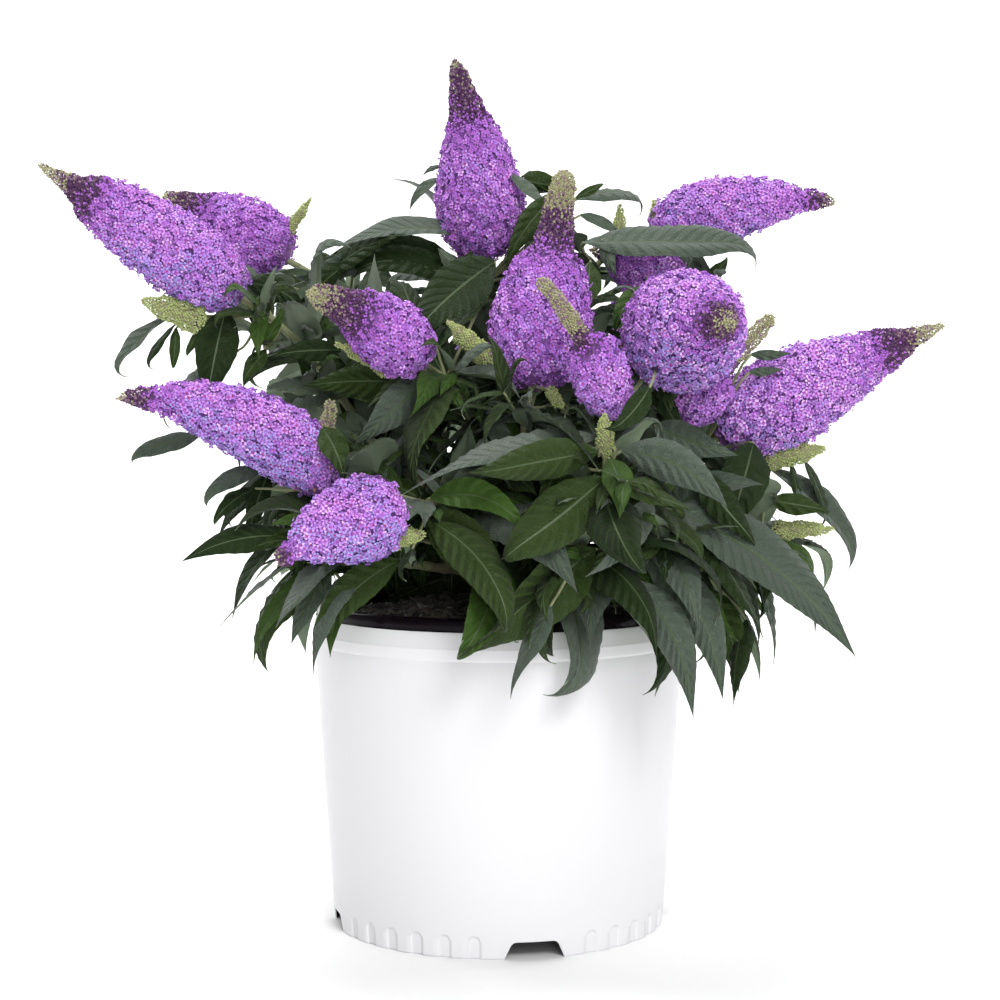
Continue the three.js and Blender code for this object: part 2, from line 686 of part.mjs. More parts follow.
function growPair(shoot, pair) {
  const roll = dice(40 * shoot.number + pair.k + 1);
  const outwards = new THREE.Vector3(pair.point.x, pair.point.y, 0).normalize();
  const turn = roll(-25, 25) + 90 * pair.k + 30 * shoot.number;
  const side = crossways(pair.tangent).applyAxisAngle(pair.tangent, rad(turn));
  for (const hand of [1, -1]) {
    const spread = rad(roll(48, 66));
    const direction = pair.tangent.clone().multiplyScalar(Math.cos(spread));
    direction.addScaledVector(side, hand * Math.sin(spread)).addScaledVector(outwards, 0.25).normalize();
    const face = pair.tangent.clone().multiplyScalar(0.6).addScaledVector(UP, 0.8).normalize();
    const length = lerp(LEAF_LOW, LEAF_HIGH, pair.share) * roll(0.88, 1.08);
    const width = length * LEAF_SLIM * roll(0.9, 1.12);
    growLeaf(shoot, pair.point, direction, face, length, width, roll(30, 62), 8);
    if (hand > 0 && pair.k % 3 === 1) growTwig(shoot, pair, direction, length, roll);
  }
  if (pair.k % 2) return;
  const across = side.clone().cross(pair.tangent);
  const above = along(pair.point, pair.tangent, 4);
  for (const hand of [1, -1]) {
    const small = lerp(LEAF_LOW, LEAF_HIGH, pair.share) * SMALL_LEAF * roll(0.85, 1.2);
    const out = pair.tangent.clone().addScaledVector(across, hand * roll(0.7, 1.3)).normalize();
    const face = pair.tangent.clone().multiplyScalar(0.6).addScaledVector(UP, 0.8).normalize();
    growLeaf(shoot, above, out, face, small, small * LEAF_SLIM * 1.1, roll(20, 50), 6);
  }
}

function growTwig(shoot, pair, direction, length, roll) {
  const way = pair.tangent.clone().addScaledVector(direction, 0.9).normalize();
  const end = along(pair.point, way, roll(16, 30));
  const twig = limb([pair.point, end], [TWIG_R + 0.2, TWIG_R], 3);
  if (!clearOfAll(twig, shoot, pair.point)) return;
  grow(shoot, twig);
  const side = crossways(way).applyAxisAngle(way, rad(roll(0, 180)));
  const foot = along(end, way, -1.5);
  for (const hand of [1, -1]) {
    const small = SMALL_LEAF * length * roll(0.85, 1.15);
    const out = way.clone().addScaledVector(side, hand * 0.9).normalize();
    growLeaf(shoot, foot, out, way, small, small * LEAF_SLIM, roll(15, 50), 5);
  }
}

// Every shoot grows its first pair before any grows its second, and so on, so that none crowds another out.
const pairs = shoots.map(pairsOf);
const mostPairs = Math.max(...pairs.map((row) => row.length));
for (let k = 0; k < mostPairs; k++) {
  shoots.forEach((shoot, n) => {
    if (pairs[n][k]) growPair(shoot, pairs[n][k]);
  });
}

// ---- the finished nodes ----

const MATERIALS = Object.fromEntries(
  Object.entries(COLOURS).map(([name, color]) => [
    name,
    new THREE.MeshStandardMaterial({ color, roughness: name === "pot" ? 0.4 : 0.75, metalness: 0 }),
  ]),
);

function meshOf(name, solid, material) {
  const { vertProperties, triVerts } = solid.getMesh();
  const geometry = new THREE.BufferGeometry();
  geometry.setAttribute("position", new THREE.BufferAttribute(new Float32Array(vertProperties), 3));
  geometry.setIndex(new THREE.BufferAttribute(triVerts, 1));
  const mesh = new THREE.Mesh(geometry, MATERIALS[material]);
  mesh.name = name;
  return mesh;
}

const bush = new THREE.Group();
bush.name = "potted_butterfly_bush";
bush.add(meshOf("pot", pot, "pot"));
bush.add(meshOf("potting_mix", mix, "mix"));
bush.add(meshOf("stem_base", base, "wood"));
for (const shoot of shoots) {
  const foliage = wasm.Manifold.union(shoot.pieces.map((piece) => piece.solid));
  bush.add(meshOf(shoot.name + "_stem", shoot.stem, "wood"));
  bush.add(meshOf(shoot.name + "_foliage", wholeOf(foliage), "leaf"));
  if (shoot.blossom) bush.add(meshOf(shoot.name + "_panicle", wholeOf(shoot.blossom), "blossom"));
}

export default bush;
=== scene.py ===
import math

import bpy
import numpy as np
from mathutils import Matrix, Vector, noise
from mathutils.bvhtree import BVHTree


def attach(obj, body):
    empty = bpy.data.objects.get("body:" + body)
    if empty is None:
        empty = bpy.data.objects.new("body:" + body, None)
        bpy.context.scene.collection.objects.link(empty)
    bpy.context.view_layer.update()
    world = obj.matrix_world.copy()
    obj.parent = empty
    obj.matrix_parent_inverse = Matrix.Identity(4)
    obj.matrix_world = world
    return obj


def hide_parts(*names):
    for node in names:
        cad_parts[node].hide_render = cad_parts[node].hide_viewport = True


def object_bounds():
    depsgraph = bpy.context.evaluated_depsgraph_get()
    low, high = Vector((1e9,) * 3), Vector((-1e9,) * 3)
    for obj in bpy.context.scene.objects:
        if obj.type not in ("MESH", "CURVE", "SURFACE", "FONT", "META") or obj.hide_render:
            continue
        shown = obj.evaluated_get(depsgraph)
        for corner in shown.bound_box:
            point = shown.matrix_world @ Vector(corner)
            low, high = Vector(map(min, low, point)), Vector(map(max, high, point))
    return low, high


# A butterfly bush in bloom in its nursery pot: the pot, the bark mix, the bare stems, the leafy shoots and
# the panicles. Lengths are millimetres until a mesh is made, because Blender holds metres.
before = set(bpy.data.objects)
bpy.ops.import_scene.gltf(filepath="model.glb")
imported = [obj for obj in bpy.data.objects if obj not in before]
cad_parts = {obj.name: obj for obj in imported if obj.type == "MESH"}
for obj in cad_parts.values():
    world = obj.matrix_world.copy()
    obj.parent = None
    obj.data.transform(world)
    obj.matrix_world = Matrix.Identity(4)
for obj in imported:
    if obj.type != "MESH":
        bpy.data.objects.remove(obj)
solids_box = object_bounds()

# ---- The pot: wall, collar and rolled rim ----
# A nursery can, moulded in one piece of black plastic, with a white skin moulded on outside as far up as
# the rim. Shallow flutes stiffen its bottom edge, and four notches in it let water out.
MM = 0.001
POT_BASE_R = 107.5
WALL_TOP = 184
WALL_TOP_R = 120.2
WALL_THICK = 2.2
POT_HEIGHT = 210
SKIN_TOP = 201.6
NOTCH_AZ = -78
NOTCHES = 4
NOTCH_OUT = [12, 13.5, 15, 19]
NOTCH_HIGH = [10.5, 10, 8.5, 0]
FLUTE_PITCH = 10
FLUTES_A_SIDE = range(2, 8)
FLUTE_HALF = 4
FLUTE_HIGH = 14.5
FLUTE_DEEP = 1.2
FLUTE_EDGE = 0.6
FOOT_BAND = 17
FLOOR_UNDER = 11.5
FLOOR_TOP = 14
FOOT_R = 35
FOOT_TOP = 2.5
DISH_R = 46
INTO_WALL = 0.3
MIDDLE_R = 0.5
FOOT_ROWS = 27
EDGE_ROUND = 0.8
EDGE_HIGH = 1.5


class Heap:
    """Points and faces piled up from many shapes: each face has the number of its material, and each
    point a swell, the share by which the surface stands up between its veins there."""

    def __init__(self):
        self.points, self.swells = [], []
        self.corners, self.sizes, self.slots = [], [], []
        self.count = 0

    def add(self, points, faces, slot=0, swell=0.0):
        faces = np.asarray(faces)
        self.points.append(np.asarray(points, float))
        self.swells.append(np.broadcast_to(swell, len(points)))
        self.corners.append(faces.ravel() + self.count)
        self.sizes.append(np.full(len(faces), faces.shape[1]))
        self.slots.append(np.broadcast_to(slot, len(faces)))
        self.count += len(points)

    def piece(self, name, materials, smooth=True):
        sizes = np.concatenate(self.sizes)
        corners = np.concatenate(self.corners)
        mesh = bpy.data.meshes.new(name)
        mesh.vertices.add(self.count)
        mesh.vertices.foreach_set("co", (np.concatenate(self.points) * MM).ravel())
        mesh.loops.add(len(corners))
        mesh.loops.foreach_set("vertex_index", corners.astype(np.int32))
        mesh.polygons.add(len(sizes))
        mesh.polygons.foreach_set("loop_start", (np.cumsum(sizes) - sizes).astype(np.int32))
        mesh.polygons.foreach_set("material_index", np.concatenate(self.slots).astype(np.int32))
        mesh.polygons.foreach_set("use_smooth", np.full(len(sizes), smooth))
        swells = np.concatenate(self.swells).astype(np.float32)
        if swells.any():
            mesh.attributes.new("swell", "FLOAT", "POINT").data.foreach_set("value", swells)
        for material in materials:
            mesh.materials.append(material)
        mesh.update(calc_edges=True)
        mesh.validate()
        piece = bpy.data.objects.new(name, mesh)
        bpy.context.scene.collection.objects.link(piece)
        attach(piece, "root")
        return piece


def sheet(rows, columns, closed=False):
    """The faces of a grid of points, row by row, facing the side where rows turn left into columns."""
    across = np.arange(columns if closed else columns - 1)
    first = (np.arange(rows - 1)[:, None] * columns + across).ravel()
    after = (np.arange(rows - 1)[:, None] * columns + (across + 1) % columns).ravel()
    return np.stack([first, after, after + columns, first + columns], axis=1)


def turned_over(faces):
    """The same faces seen from their other side, split along the same diagonals."""
    return faces[:, [0, 3, 2, 1]]


def wall_r(z):
    return POT_BASE_R + (WALL_TOP_R - POT_BASE_R) * z / WALL_TOP


notch_azimuths = [NOTCH_AZ + 360 / NOTCHES * n for n in range(NOTCHES)]
flute_azimuths = [notch + FLUTE_PITCH * n for notch in notch_azimuths for n in FLUTES_A_SIDE]
notch_steps = [0, 4, 8, 11.8, 12.6, 13.6, 15, 15.6, 16.3, 17, 17.7, 18.4, 19, 19.6]
flute_steps = [0, 1.5, 2.5, 3.1, 3.5, 3.8, 4.1]
column_azimuths = {round(float(az), 4) % 360 for az in np.arange(0, 360, 2.5)}
for azimuths, steps in ((notch_azimuths, notch_steps), (flute_azimuths, flute_steps)):
    for az in azimuths:
        column_azimuths |= {round((az + hand * math.degrees(step / POT_BASE_R)) % 360, 4)
                            for step in steps for hand in (-1, 1)}
column_az = np.array(sorted(column_azimuths))


def nearest_offset(azimuths):
    """How far each column is from the nearest of these azimuths, round the pot's foot, in millimetres."""
    turns = (column_az[:, None] - np.array(azimuths)[None, :] + 180) % 360 - 180
    return np.radians(np.abs(turns).min(axis=1)) * POT_BASE_R


bottom_edge = np.interp(nearest_offset(notch_azimuths), NOTCH_OUT, NOTCH_HIGH)
flute_offset = nearest_offset(flute_azimuths)


def flute_depth(z):
    straight = FLUTE_HALF - flute_offset
    arch = FLUTE_HALF - np.hypot(flute_offset, z - (FLUTE_HIGH - FLUTE_HALF))
    inside = np.where(z < FLUTE_HIGH - FLUTE_HALF, straight, np.minimum(straight, arch))
    return FLUTE_DEEP * np.clip(inside / FLUTE_EDGE, 0, 1)


def ring(r, z):
    """A ring of points round the pot's axis, one in each column."""
    turn = np.radians(column_az)
    return np.stack([r * np.cos(turn), r * np.sin(turn), z + np.zeros_like(turn)], axis=1)


pot_rings, ring_is_white = [], []
for share in np.linspace(0, 1, FOOT_ROWS):
    z = bottom_edge + (FOOT_BAND - bottom_edge) * share
    rounding = EDGE_ROUND * max(0, 1 - share * (FOOT_ROWS - 1) / EDGE_HIGH) ** 2
    pot_rings.append(ring(wall_r(z) - flute_depth(z) - rounding, z))
    ring_is_white.append(True)
SKIN_PROFILE = [
    (60, wall_r(60)), (110, wall_r(110)), (150, wall_r(150)), (175, wall_r(175)), (183.2, wall_r(183.2)),
    (183.8, 120.0), (184.3, 120.1), (184.8, 120.7), (185.4, 120.95), (188, 121.2), (190.8, 121.5),
    (191.5, 121.6), (192, 121.35), (192.6, 121.2), (197, 120.4), (200.6, 119.6), (SKIN_TOP, 119.3),
]
RIM_PROFILE = [
    (202, 118.7), (202.5, 118.6), (204, 119.0), (206.5, 119.1), (208, 118.7), (209.2, 118.0), (209.9, 117.1),
    (POT_HEIGHT, 116.4), (209.8, 115.7), (209.0, 115.0), (207.6, 114.6), (205, 114.7), (201, 116.0),
    (197, 117.6), (190, wall_r(190) - 3), (120, wall_r(120) - WALL_THICK), (40, wall_r(40) - WALL_THICK),
]
for profile in (SKIN_PROFILE, RIM_PROFILE):
    for z, r in profile:
        pot_rings.append(ring(r, z))
        ring_is_white.append(profile is SKIN_PROFILE and z < SKIN_TOP)
inner_edge = np.maximum(bottom_edge, 0.01)
for z in (np.maximum(bottom_edge, FLOOR_UNDER), inner_edge + 0.3):
    pot_rings.append(ring(wall_r(z) - WALL_THICK, z))
    ring_is_white.append(False)
pot_rings.append(pot_rings[0])


def shader_group(name, numbers, outputs):
    """A node group with named number inputs, each with its value, and named outputs of a socket type."""
    group = bpy.data.node_groups.new(name, "ShaderNodeTree")
    for label, value in numbers.items():
        socket = group.interface.new_socket(label, in_out="INPUT", socket_type="NodeSocketFloat")
        socket.default_value = value
    for label, kind in outputs.items():
        group.interface.new_socket(label, in_out="OUTPUT", socket_type=kind)
    return group, group.nodes.new("NodeGroupInput"), group.nodes.new("NodeGroupOutput")


# Fine unevenness of any grown or moulded surface: a mottled roughness and a small relief.
grain, grain_in, grain_out = shader_group(
    "fine_grain",
    {"Size": 400.0, "Low": 0.4, "High": 0.6, "Relief": 0.2, "Depth": 0.0002},
    {"Roughness": "NodeSocketFloat", "Normal": "NodeSocketVector"},
)
coordinates = grain.nodes.new("ShaderNodeTexCoord")
mottle = grain.nodes.new("ShaderNodeTexNoise")
mottle.inputs["Detail"].default_value = 3
spread = grain.nodes.new("ShaderNodeMapRange")
relief = grain.nodes.new("ShaderNodeBump")
spread.inputs["From Min"].default_value = 0.3
spread.inputs["From Max"].default_value = 0.7
for start, end in (
    (coordinates.outputs["Object"], mottle.inputs["Vector"]),
    (grain_in.outputs["Size"], mottle.inputs["Scale"]),
    (mottle.outputs["Fac"], spread.inputs["Value"]),
    (grain_in.outputs["Low"], spread.inputs["To Min"]),
    (grain_in.outputs["High"], spread.inputs["To Max"]),
    (mottle.outputs["Fac"], relief.inputs["Height"]),
    (grain_in.outputs["Relief"], relief.inputs["Strength"]),
    (grain_in.outputs["Depth"], relief.inputs["Distance"]),
    (spread.outputs["Result"], grain_out.inputs["Roughness"]),
    (relief.outputs["Normal"], grain_out.inputs["Normal"]),
):
    grain.links.new(start, end)


def finish(name, colour, size, low, high, relief=0.2, depth=0.0002, effect=grain, **sockets):
    """A material of one plain colour with an effect in its roughness and relief."""
    material = bpy.data.materials.new(name)
    material.use_nodes = True
    shader = material.node_tree.nodes["Principled BSDF"]
    shader.inputs["Base Color"].default_value = (*colour, 1)
    for label, value in sockets.items():
        shader.inputs[label.replace("_", " ")].default_value = value
    texture = material.node_tree.nodes.new("ShaderNodeGroup")
    texture.node_tree = effect
    for label, value in dict(Size=size, Low=low, High=high, Relief=relief, Depth=depth).items():
        texture.inputs[label].default_value = value
    material.node_tree.links.new(texture.outputs["Roughness"], shader.inputs["Roughness"])
    material.node_tree.links.new(texture.outputs["Normal"], shader.inputs["Normal"])
    return material


white_skin = finish("white_skin", (0.74, 0.735, 0.755), 120, 0.36, 0.46, 0.05, Specular_IOR_Level=0.3)
black_plastic = finish("black_plastic", (0.004, 0.002, 0.004), 300, 0.12, 0.20, 0.08, Specular_IOR_Level=0.1)

pot_heap = Heap()
pot_faces = sheet(len(pot_rings), len(column_az), closed=True)
pot_slots = np.repeat([0 if white else 1 for white in ring_is_white], len(column_az))
pot_heap.add(np.concatenate(pot_rings), pot_faces, pot_slots)
UNDER_PROFILE = [(wall_r(FLOOR_UNDER) - WALL_THICK + INTO_WALL, FLOOR_UNDER), (DISH_R, FLOOR_UNDER),
                 (FOOT_R + 2, 0.6), (FOOT_R, 0), (MIDDLE_R, 0)]
FLOOR_PROFILE = [(wall_r(FLOOR_TOP) - WALL_THICK + INTO_WALL, FLOOR_TOP), (DISH_R + 1, FLOOR_TOP),
                 (FOOT_R + 1, FOOT_TOP), (MIDDLE_R, FOOT_TOP)]
for profile in (UNDER_PROFILE, FLOOR_PROFILE):
    rings = np.concatenate([ring(r, z) for r, z in profile])
    faces = sheet(len(profile), len(column_az), closed=True)
    pot_heap.add(rings, faces if profile is UNDER_PROFILE else turned_over(faces), 1)
pot_piece = pot_heap.piece("pot_shell", [white_skin, black_plastic])
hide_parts("pot")

# ---- The bark mix ----
# Composted bark and peat, heaped a little towards the plant and settled below the rim. Its surface is
# crumbs with larger flakes of bark lying on it at all angles.
MIX_EDGE_Z = 196
MIX_TOP_Z = 203
MIX_DROP = 6
MIX_SIDE = 8
MIX_R = 116.5
MOUND = 6
MOUND_R = 50
MOUND_HALF = 26
LUMP_HIGH = 1.6
CRUMB_HIGH = 0.9
CRUMB_RINGS = 64
CRUMB_COLUMNS = 180
FLAKES = 1500
FLAKE_LONG = (3.5, 12)
FLAKE_WIDE = (2, 5.5)
FLAKE_THICK = (0.8, 2.2)
FLAKE_CORNERS = [(x, y, z) for z in (-0.5, 0.5) for y in (-0.5, 0.5) for x in (-0.5, 0.5)]
FLAKE_FACES = [(0, 2, 3, 1), (4, 5, 7, 6), (0, 1, 5, 4), (2, 6, 7, 3), (0, 4, 6, 2), (1, 3, 7, 5)]


def mix_z(x, y):
    r = math.hypot(x, y)
    mound = MOUND * math.exp(-(((r - MOUND_R) / MOUND_HALF) ** 2))
    heap = MIX_TOP_Z - MIX_DROP * (r / MIX_R) ** 1.6 + mound
    lumps = LUMP_HIGH * noise.noise(Vector((x, y, 0)) * 0.11)
    crumbs = CRUMB_HIGH * noise.noise(Vector((x, y, 9)) * 0.33)
    return heap + (lumps + crumbs)


mix_finishes = [
    finish("mix_crumbs", (0.034, 0.031, 0.033), 700, 0.75, 0.95, 0.8, 0.001),
    finish("bark_flakes_dark", (0.045, 0.040, 0.041), 500, 0.7, 0.9, 0.5, 0.0006),
    finish("bark_flakes_brown", (0.085, 0.068, 0.060), 500, 0.7, 0.9, 0.5, 0.0006),
    finish("bark_flakes_grey", (0.17, 0.16, 0.155), 500, 0.7, 0.9, 0.5, 0.0006),
]
mix_heap = Heap()
crumb_points = []
for r in np.linspace(1, MIX_R, CRUMB_RINGS):
    for turn in np.arange(CRUMB_COLUMNS) * 2 * math.pi / CRUMB_COLUMNS:
        x, y = r * math.cos(turn), r * math.sin(turn)
        crumb_points.append((x, y, mix_z(x, y)))
for x, y, z in crumb_points[-CRUMB_COLUMNS:]:
    crumb_points.append((x, y, MIX_EDGE_Z - MIX_SIDE))
mix_heap.add(crumb_points, turned_over(sheet(CRUMB_RINGS + 1, CRUMB_COLUMNS, closed=True)), 0)
rng = np.random.RandomState(7)
for n in range(FLAKES):
    r, az = MIX_R * 0.96 * math.sqrt(rng.uniform(0.01, 1)), rng.uniform(0, 2 * math.pi)
    x, y = r * math.cos(az), r * math.sin(az)
    size = (rng.uniform(*FLAKE_LONG), rng.uniform(*FLAKE_WIDE), rng.uniform(*FLAKE_THICK))
    flake = np.array(FLAKE_CORNERS) * size
    flake *= rng.uniform(0.6, 1.1, (8, 1))
    turn, tilt = rng.uniform(0, 2 * math.pi), rng.uniform(-0.6, 0.6)
    flat = np.array([[math.cos(turn), -math.sin(turn), 0], [math.sin(turn), math.cos(turn), 0], [0, 0, 1]])
    lean = np.array([[math.cos(tilt), 0, math.sin(tilt)], [0, 1, 0], [-math.sin(tilt), 0, math.cos(tilt)]])
    flake = flake @ lean.T @ flat.T + (x, y, mix_z(x, y) + 0.5)
    mix_heap.add(flake, FLAKE_FACES, rng.choice([1, 2, 3], p=[0.5, 0.38, 0.12]))
mix_piece = mix_heap.piece("bark_mix_surface", mix_finishes, smooth=False)
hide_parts("potting_mix")

# ---- The woody base and the bare stems ----
# Old cut-back wood, buff and ridged, from which stems rise and fork. A stem is bare for the lower part
# of its way and then leafy, tapering all along, with a swollen joint wherever a pair of leaves stood.
SHOOT_SHARE = 0.7
STEM_R = 3.3
SHOOT_R = 2.9
TIP_R = 2.2
RISE = 0.6
HANDLE_OUT = 0.42
HANDLE_IN = 0.36
FORK_THINNER = 0.3
STALK = 7
BASE_TOP_Z = 240
LEAF_GAP = 30
JOINT_AT = 0.55
JOINT_SWELL = 0.22
JOINT_HALF = 2.2
UP = np.array([0.0, 0.0, 1.0])


def side_bloom(place, heading, pitch, length, girth, opened=0.0, green=0.15, aged=0.0, sway=(0, 0, 0),
               pale=0.1):
    """A side bunch, or a spike of green buds: its foot, from the shoot's end, its way and its size."""
    return dict(place=place, heading=heading, pitch=pitch, length=length, girth=girth, bow=0, opened=opened,
                green=green, aged=aged, deep=0.0, withered=0, sway=sway, taper=1.5, pale=pale, slim=1,
                spire=(0.32, 0.24) if opened else (1, 0.6))


def bloom(length, girth, bow, opened, green, aged=0.3, withered=0, spire=(0.34, 0.1), sway=(0, 0, 0),
          taper=1.6, deep=0.0, pale=0.1, slim=1):
    """The panicle at a shoot's end: its length and girth, how far it bows up, and how far it is out."""
    return dict(length=length, girth=girth, bow=bow, opened=opened, green=green, aged=aged, pale=pale,
                withered=withered, spire=spire, sway=sway, taper=taper, deep=deep, slim=slim)


# Each shoot: where it ends (round the axis, out, up), the way it points there (heading, pitch), the
# height where it leaves the woody base or the stem it forks from, and its panicle. opened is the share of
# a panicle in flower, green the share from which its buds are green, aged how far it has faded to blue,
# taper how late it narrows, slim how soon its spire does, deep the share of its florets, over and
# above the young ones, that are violet as painted shade on a panicle that stands in shadow, pale the share
# that are pale, partly florets that have paled and partly painted light on a panicle that stands in the
# light, and sway how far its middle is pulled aside.
SHOOTS = [
    dict(name="left_high", end=(-166, 166, 404), heading=-166, pitch=33, out=226,
         bloom=bloom(150, 50, 6, 0.74, 0.88, 0.45, spire=(0.62, 0.1), sway=(0, 0, -8), slim=2, taper=2.2,
                     pale=0.15),
         sides=[side_bloom((-24, -5, -14), -157, 18, 42, 20)]),
    dict(name="left_back", end=(154, 159, 434), heading=170, pitch=27, fork=("left_high", 0.55),
         bloom=bloom(100, 51, 4, 0.68, 0.93, 0.1, spire=(0.55, 0.2), slim=1.4, deep=0.5, pale=0.04),
         sides=[side_bloom((-5, 0, 14), 14, 55, 36, 10)]),
    dict(name="top", end=(110, 32, 431), heading=-142, pitch=80, out=234, rise=8,
         bloom=bloom(134, 60, 0, 0.68, 0.97, 0.1, spire=(0.46, 0.12), sway=(10, 0, 0), taper=1.35,
                     deep=0.35)),
    dict(name="centre", end=(-78, 94, 348), heading=50, pitch=76, out=226,
         bloom=bloom(139, 63, 2, 0.6, 0.8, 0.1, spire=(0.42, 0.2), taper=1.3, deep=0.3),
         sides=[side_bloom((-19, 5, 11), -163, 42, 45, 16), side_bloom((11, -16, -1), -60, -35, 18, 9)]),
    dict(name="front_right", end=(-37, 128, 375), heading=-77, pitch=5, out=222,
         bloom=bloom(121, 73, 5, 0.84, 0.94, 0.9, 26, pale=0.35),
         sides=[side_bloom((-35, -55, -43), -138, 53, 99, 35, 0.5, 0.6, 0.3, sway=(14, 0, 0)),
                side_bloom((6, 10, -46), 0, 46, 89, 39, 0.45, 0.58)]),
    dict(name="right_high", end=(26, 114, 448), heading=-5, pitch=11, out=228,
         bloom=bloom(124, 47, 10, 0.86, 0.97, 0.35),
         sides=[side_bloom((3, 0, 6), 180, 86, 20, 9)]),
    dict(name="back_mid", end=(5, 118, 411), heading=-167, pitch=24, fork=("right_high", 0.5),
         bloom=bloom(66, 42, 3, 0.75, 0.9, 0.5, 10, deep=0.2),
         sides=[side_bloom((-38, 10, 28), 90, 86, 30, 11)]),
    dict(name="right_low", end=(-15, 144, 316), heading=-13, pitch=27, out=215,
         bloom=bloom(157, 61, 4, 0.75, 0.88, 0.35, spire=(0.5, 0.1), slim=1.8, taper=1.4, pale=0.4),
         sides=[side_bloom((27, -6, -14), -22, 12, 42, 16)]),
    dict(name="left_low", end=(-133, 137, 290), heading=-167, pitch=21, out=215,
         bloom=bloom(146, 45, 18, 0.86, 0.96, 0.8, 14, sway=(-16, 0, 0), taper=1.9),
         sides=[side_bloom((-16, -10, -6), 51, 77, 58, 30, 0.55, 0.68)]),
    dict(name="front_left", end=(-111, 161, 276), heading=-143, pitch=-16, fork=("left_low", 0.3),
         bloom=bloom(87, 50, 6, 0.93, 0.98, 0.9, pale=0.15),
         sides=[side_bloom((-7, 0, -17), 0, 14, 22, 13)]),
    dict(name="left_mid", end=(-117, 101, 363), heading=-137, pitch=25, fork=("centre", 0.6),
         bloom=bloom(97, 44, 6, 0.6, 0.86, 0.05, spire=(0.62, 0.25), deep=0.3),
         sides=[side_bloom((-18, -5, -5), -156, 25, 41, 11)]),
    dict(name="front_low", end=(-67, 160, 306), heading=-90, pitch=74, out=214,
         sides=[side_bloom((0, 0, 3), -100, 70, 27, 13)]),
    dict(name="right_skirt", end=(-19, 178, 259), heading=-15, pitch=8, fork=("right_low", 0.55),
         sides=[side_bloom((3, 0, 0), -15, 3, 38, 13)]),
    dict(name="back_left", end=(122, 165, 372), heading=112, pitch=25, out=226,
         bloom=bloom(118, 55, 6, 0.72, 0.9, 0.3),
         sides=[side_bloom((18, 6, -10), 60, 30, 38, 13)]),
    dict(name="back_centre", end=(92, 140, 352), heading=92, pitch=26, out=215,
         bloom=bloom(110, 52, 5, 0.8, 0.93, 0.5)),
    dict(name="back_right", end=(58, 160, 365), heading=68, pitch=22, out=219,
         bloom=bloom(120, 58, 6, 0.74, 0.9, 0.2),
         sides=[side_bloom((16, -8, -12), 30, 25, 40, 14)]),
    dict(name="skirt_front", end=(-72, 150, 250), heading=-90, pitch=-8, fork=("front_low", 0.5)),
    dict(name="skirt_right", end=(-46, 160, 256), heading=-40, pitch=4, fork=("front_right", 0.45)),
    dict(name="skirt_left", end=(-134, 158, 244), heading=-140, pitch=-5, fork=("left_low", 0.65)),
    dict(name="skirt_back_left", end=(150, 155, 262), heading=155, pitch=5, fork=("back_left", 0.4)),
    dict(name="skirt_back_right", end=(34, 158, 262), heading=30, pitch=5, fork=("back_right", 0.4)),
]
shoot_named = {shoot["name"]: shoot for shoot in SHOOTS}


def polar(az, reach, height):
    return np.array([reach * math.cos(math.radians(az)), reach * math.sin(math.radians(az)), height])


def pointing(heading, pitch):
    return polar(heading, math.cos(math.radians(pitch)), math.sin(math.radians(pitch)))


def unit(vectors):
    return vectors / np.maximum(np.linalg.norm(vectors, axis=-1, keepdims=True), 1e-9)


def crossways(direction):
    over = UP if abs(direction[2]) < 0.95 else np.array([0.0, 1.0, 0.0])
    return unit(np.cross(direction, over))


def bezier(points, steps=160):
    """Points spaced evenly along a Bezier curve, and the way it goes at each."""
    t = np.linspace(0, 1, 400)[:, None]
    order = len(points) - 1
    curve = sum(math.comb(order, k) * (1 - t) ** (order - k) * t**k * p for k, p in enumerate(points))
    lengths = np.concatenate([[0], np.cumsum(np.linalg.norm(np.diff(curve, axis=0), axis=1))])
    even = np.linspace(0, lengths[-1], steps)
    path = np.stack([np.interp(even, lengths, curve[:, k]) for k in range(3)], axis=1)
    return path, unit(np.gradient(path, axis=0)), lengths[-1]


def at_share(row, share):
    """The value of a row of vectors at a share of its length, or at several."""
    places = np.linspace(0, 1, len(row))
    return np.stack([np.interp(share, places, row[:, k]) for k in range(3)], axis=-1)


def way_between(start, set_out, end, arrive):
    far = np.linalg.norm(end - start)
    return bezier([start, start + HANDLE_OUT * far * set_out, end - HANDLE_IN * far * arrive, end])


for number, shoot in enumerate(SHOOTS):
    end, arrive = polar(*shoot["end"]), pointing(shoot["heading"], shoot["pitch"])
    if "fork" in shoot:
        parent, at = shoot["fork"]
        start = at_share(shoot_named[parent]["path"], (1 - SHOOT_SHARE) * at)
        set_out = unit(end - start)
        shoot["thick"] = STEM_R + (SHOOT_R - STEM_R) * at - FORK_THINNER
    else:
        start = np.array([0, 0, shoot["out"]])
        level = unit((end - start) * (1, 1, 0))
        set_out = unit(level + UP * shoot.get("rise", RISE))
        shoot["thick"] = STEM_R
    reach = end - STALK * arrive if "bloom" in shoot else end
    shoot["path"], shoot["ways"], shoot["long"] = way_between(start, set_out, reach, arrive)
    shoot.update(number=number, tip=end, arrive=arrive, joints=[])
    pairs = int(SHOOT_SHARE * shoot["long"] / LEAF_GAP)
    for k in range(pairs):
        along = 1 - SHOOT_SHARE + SHOOT_SHARE * (k + JOINT_AT) / pairs
        shoot["joints"].append((k, (k + JOINT_AT) / pairs, along))


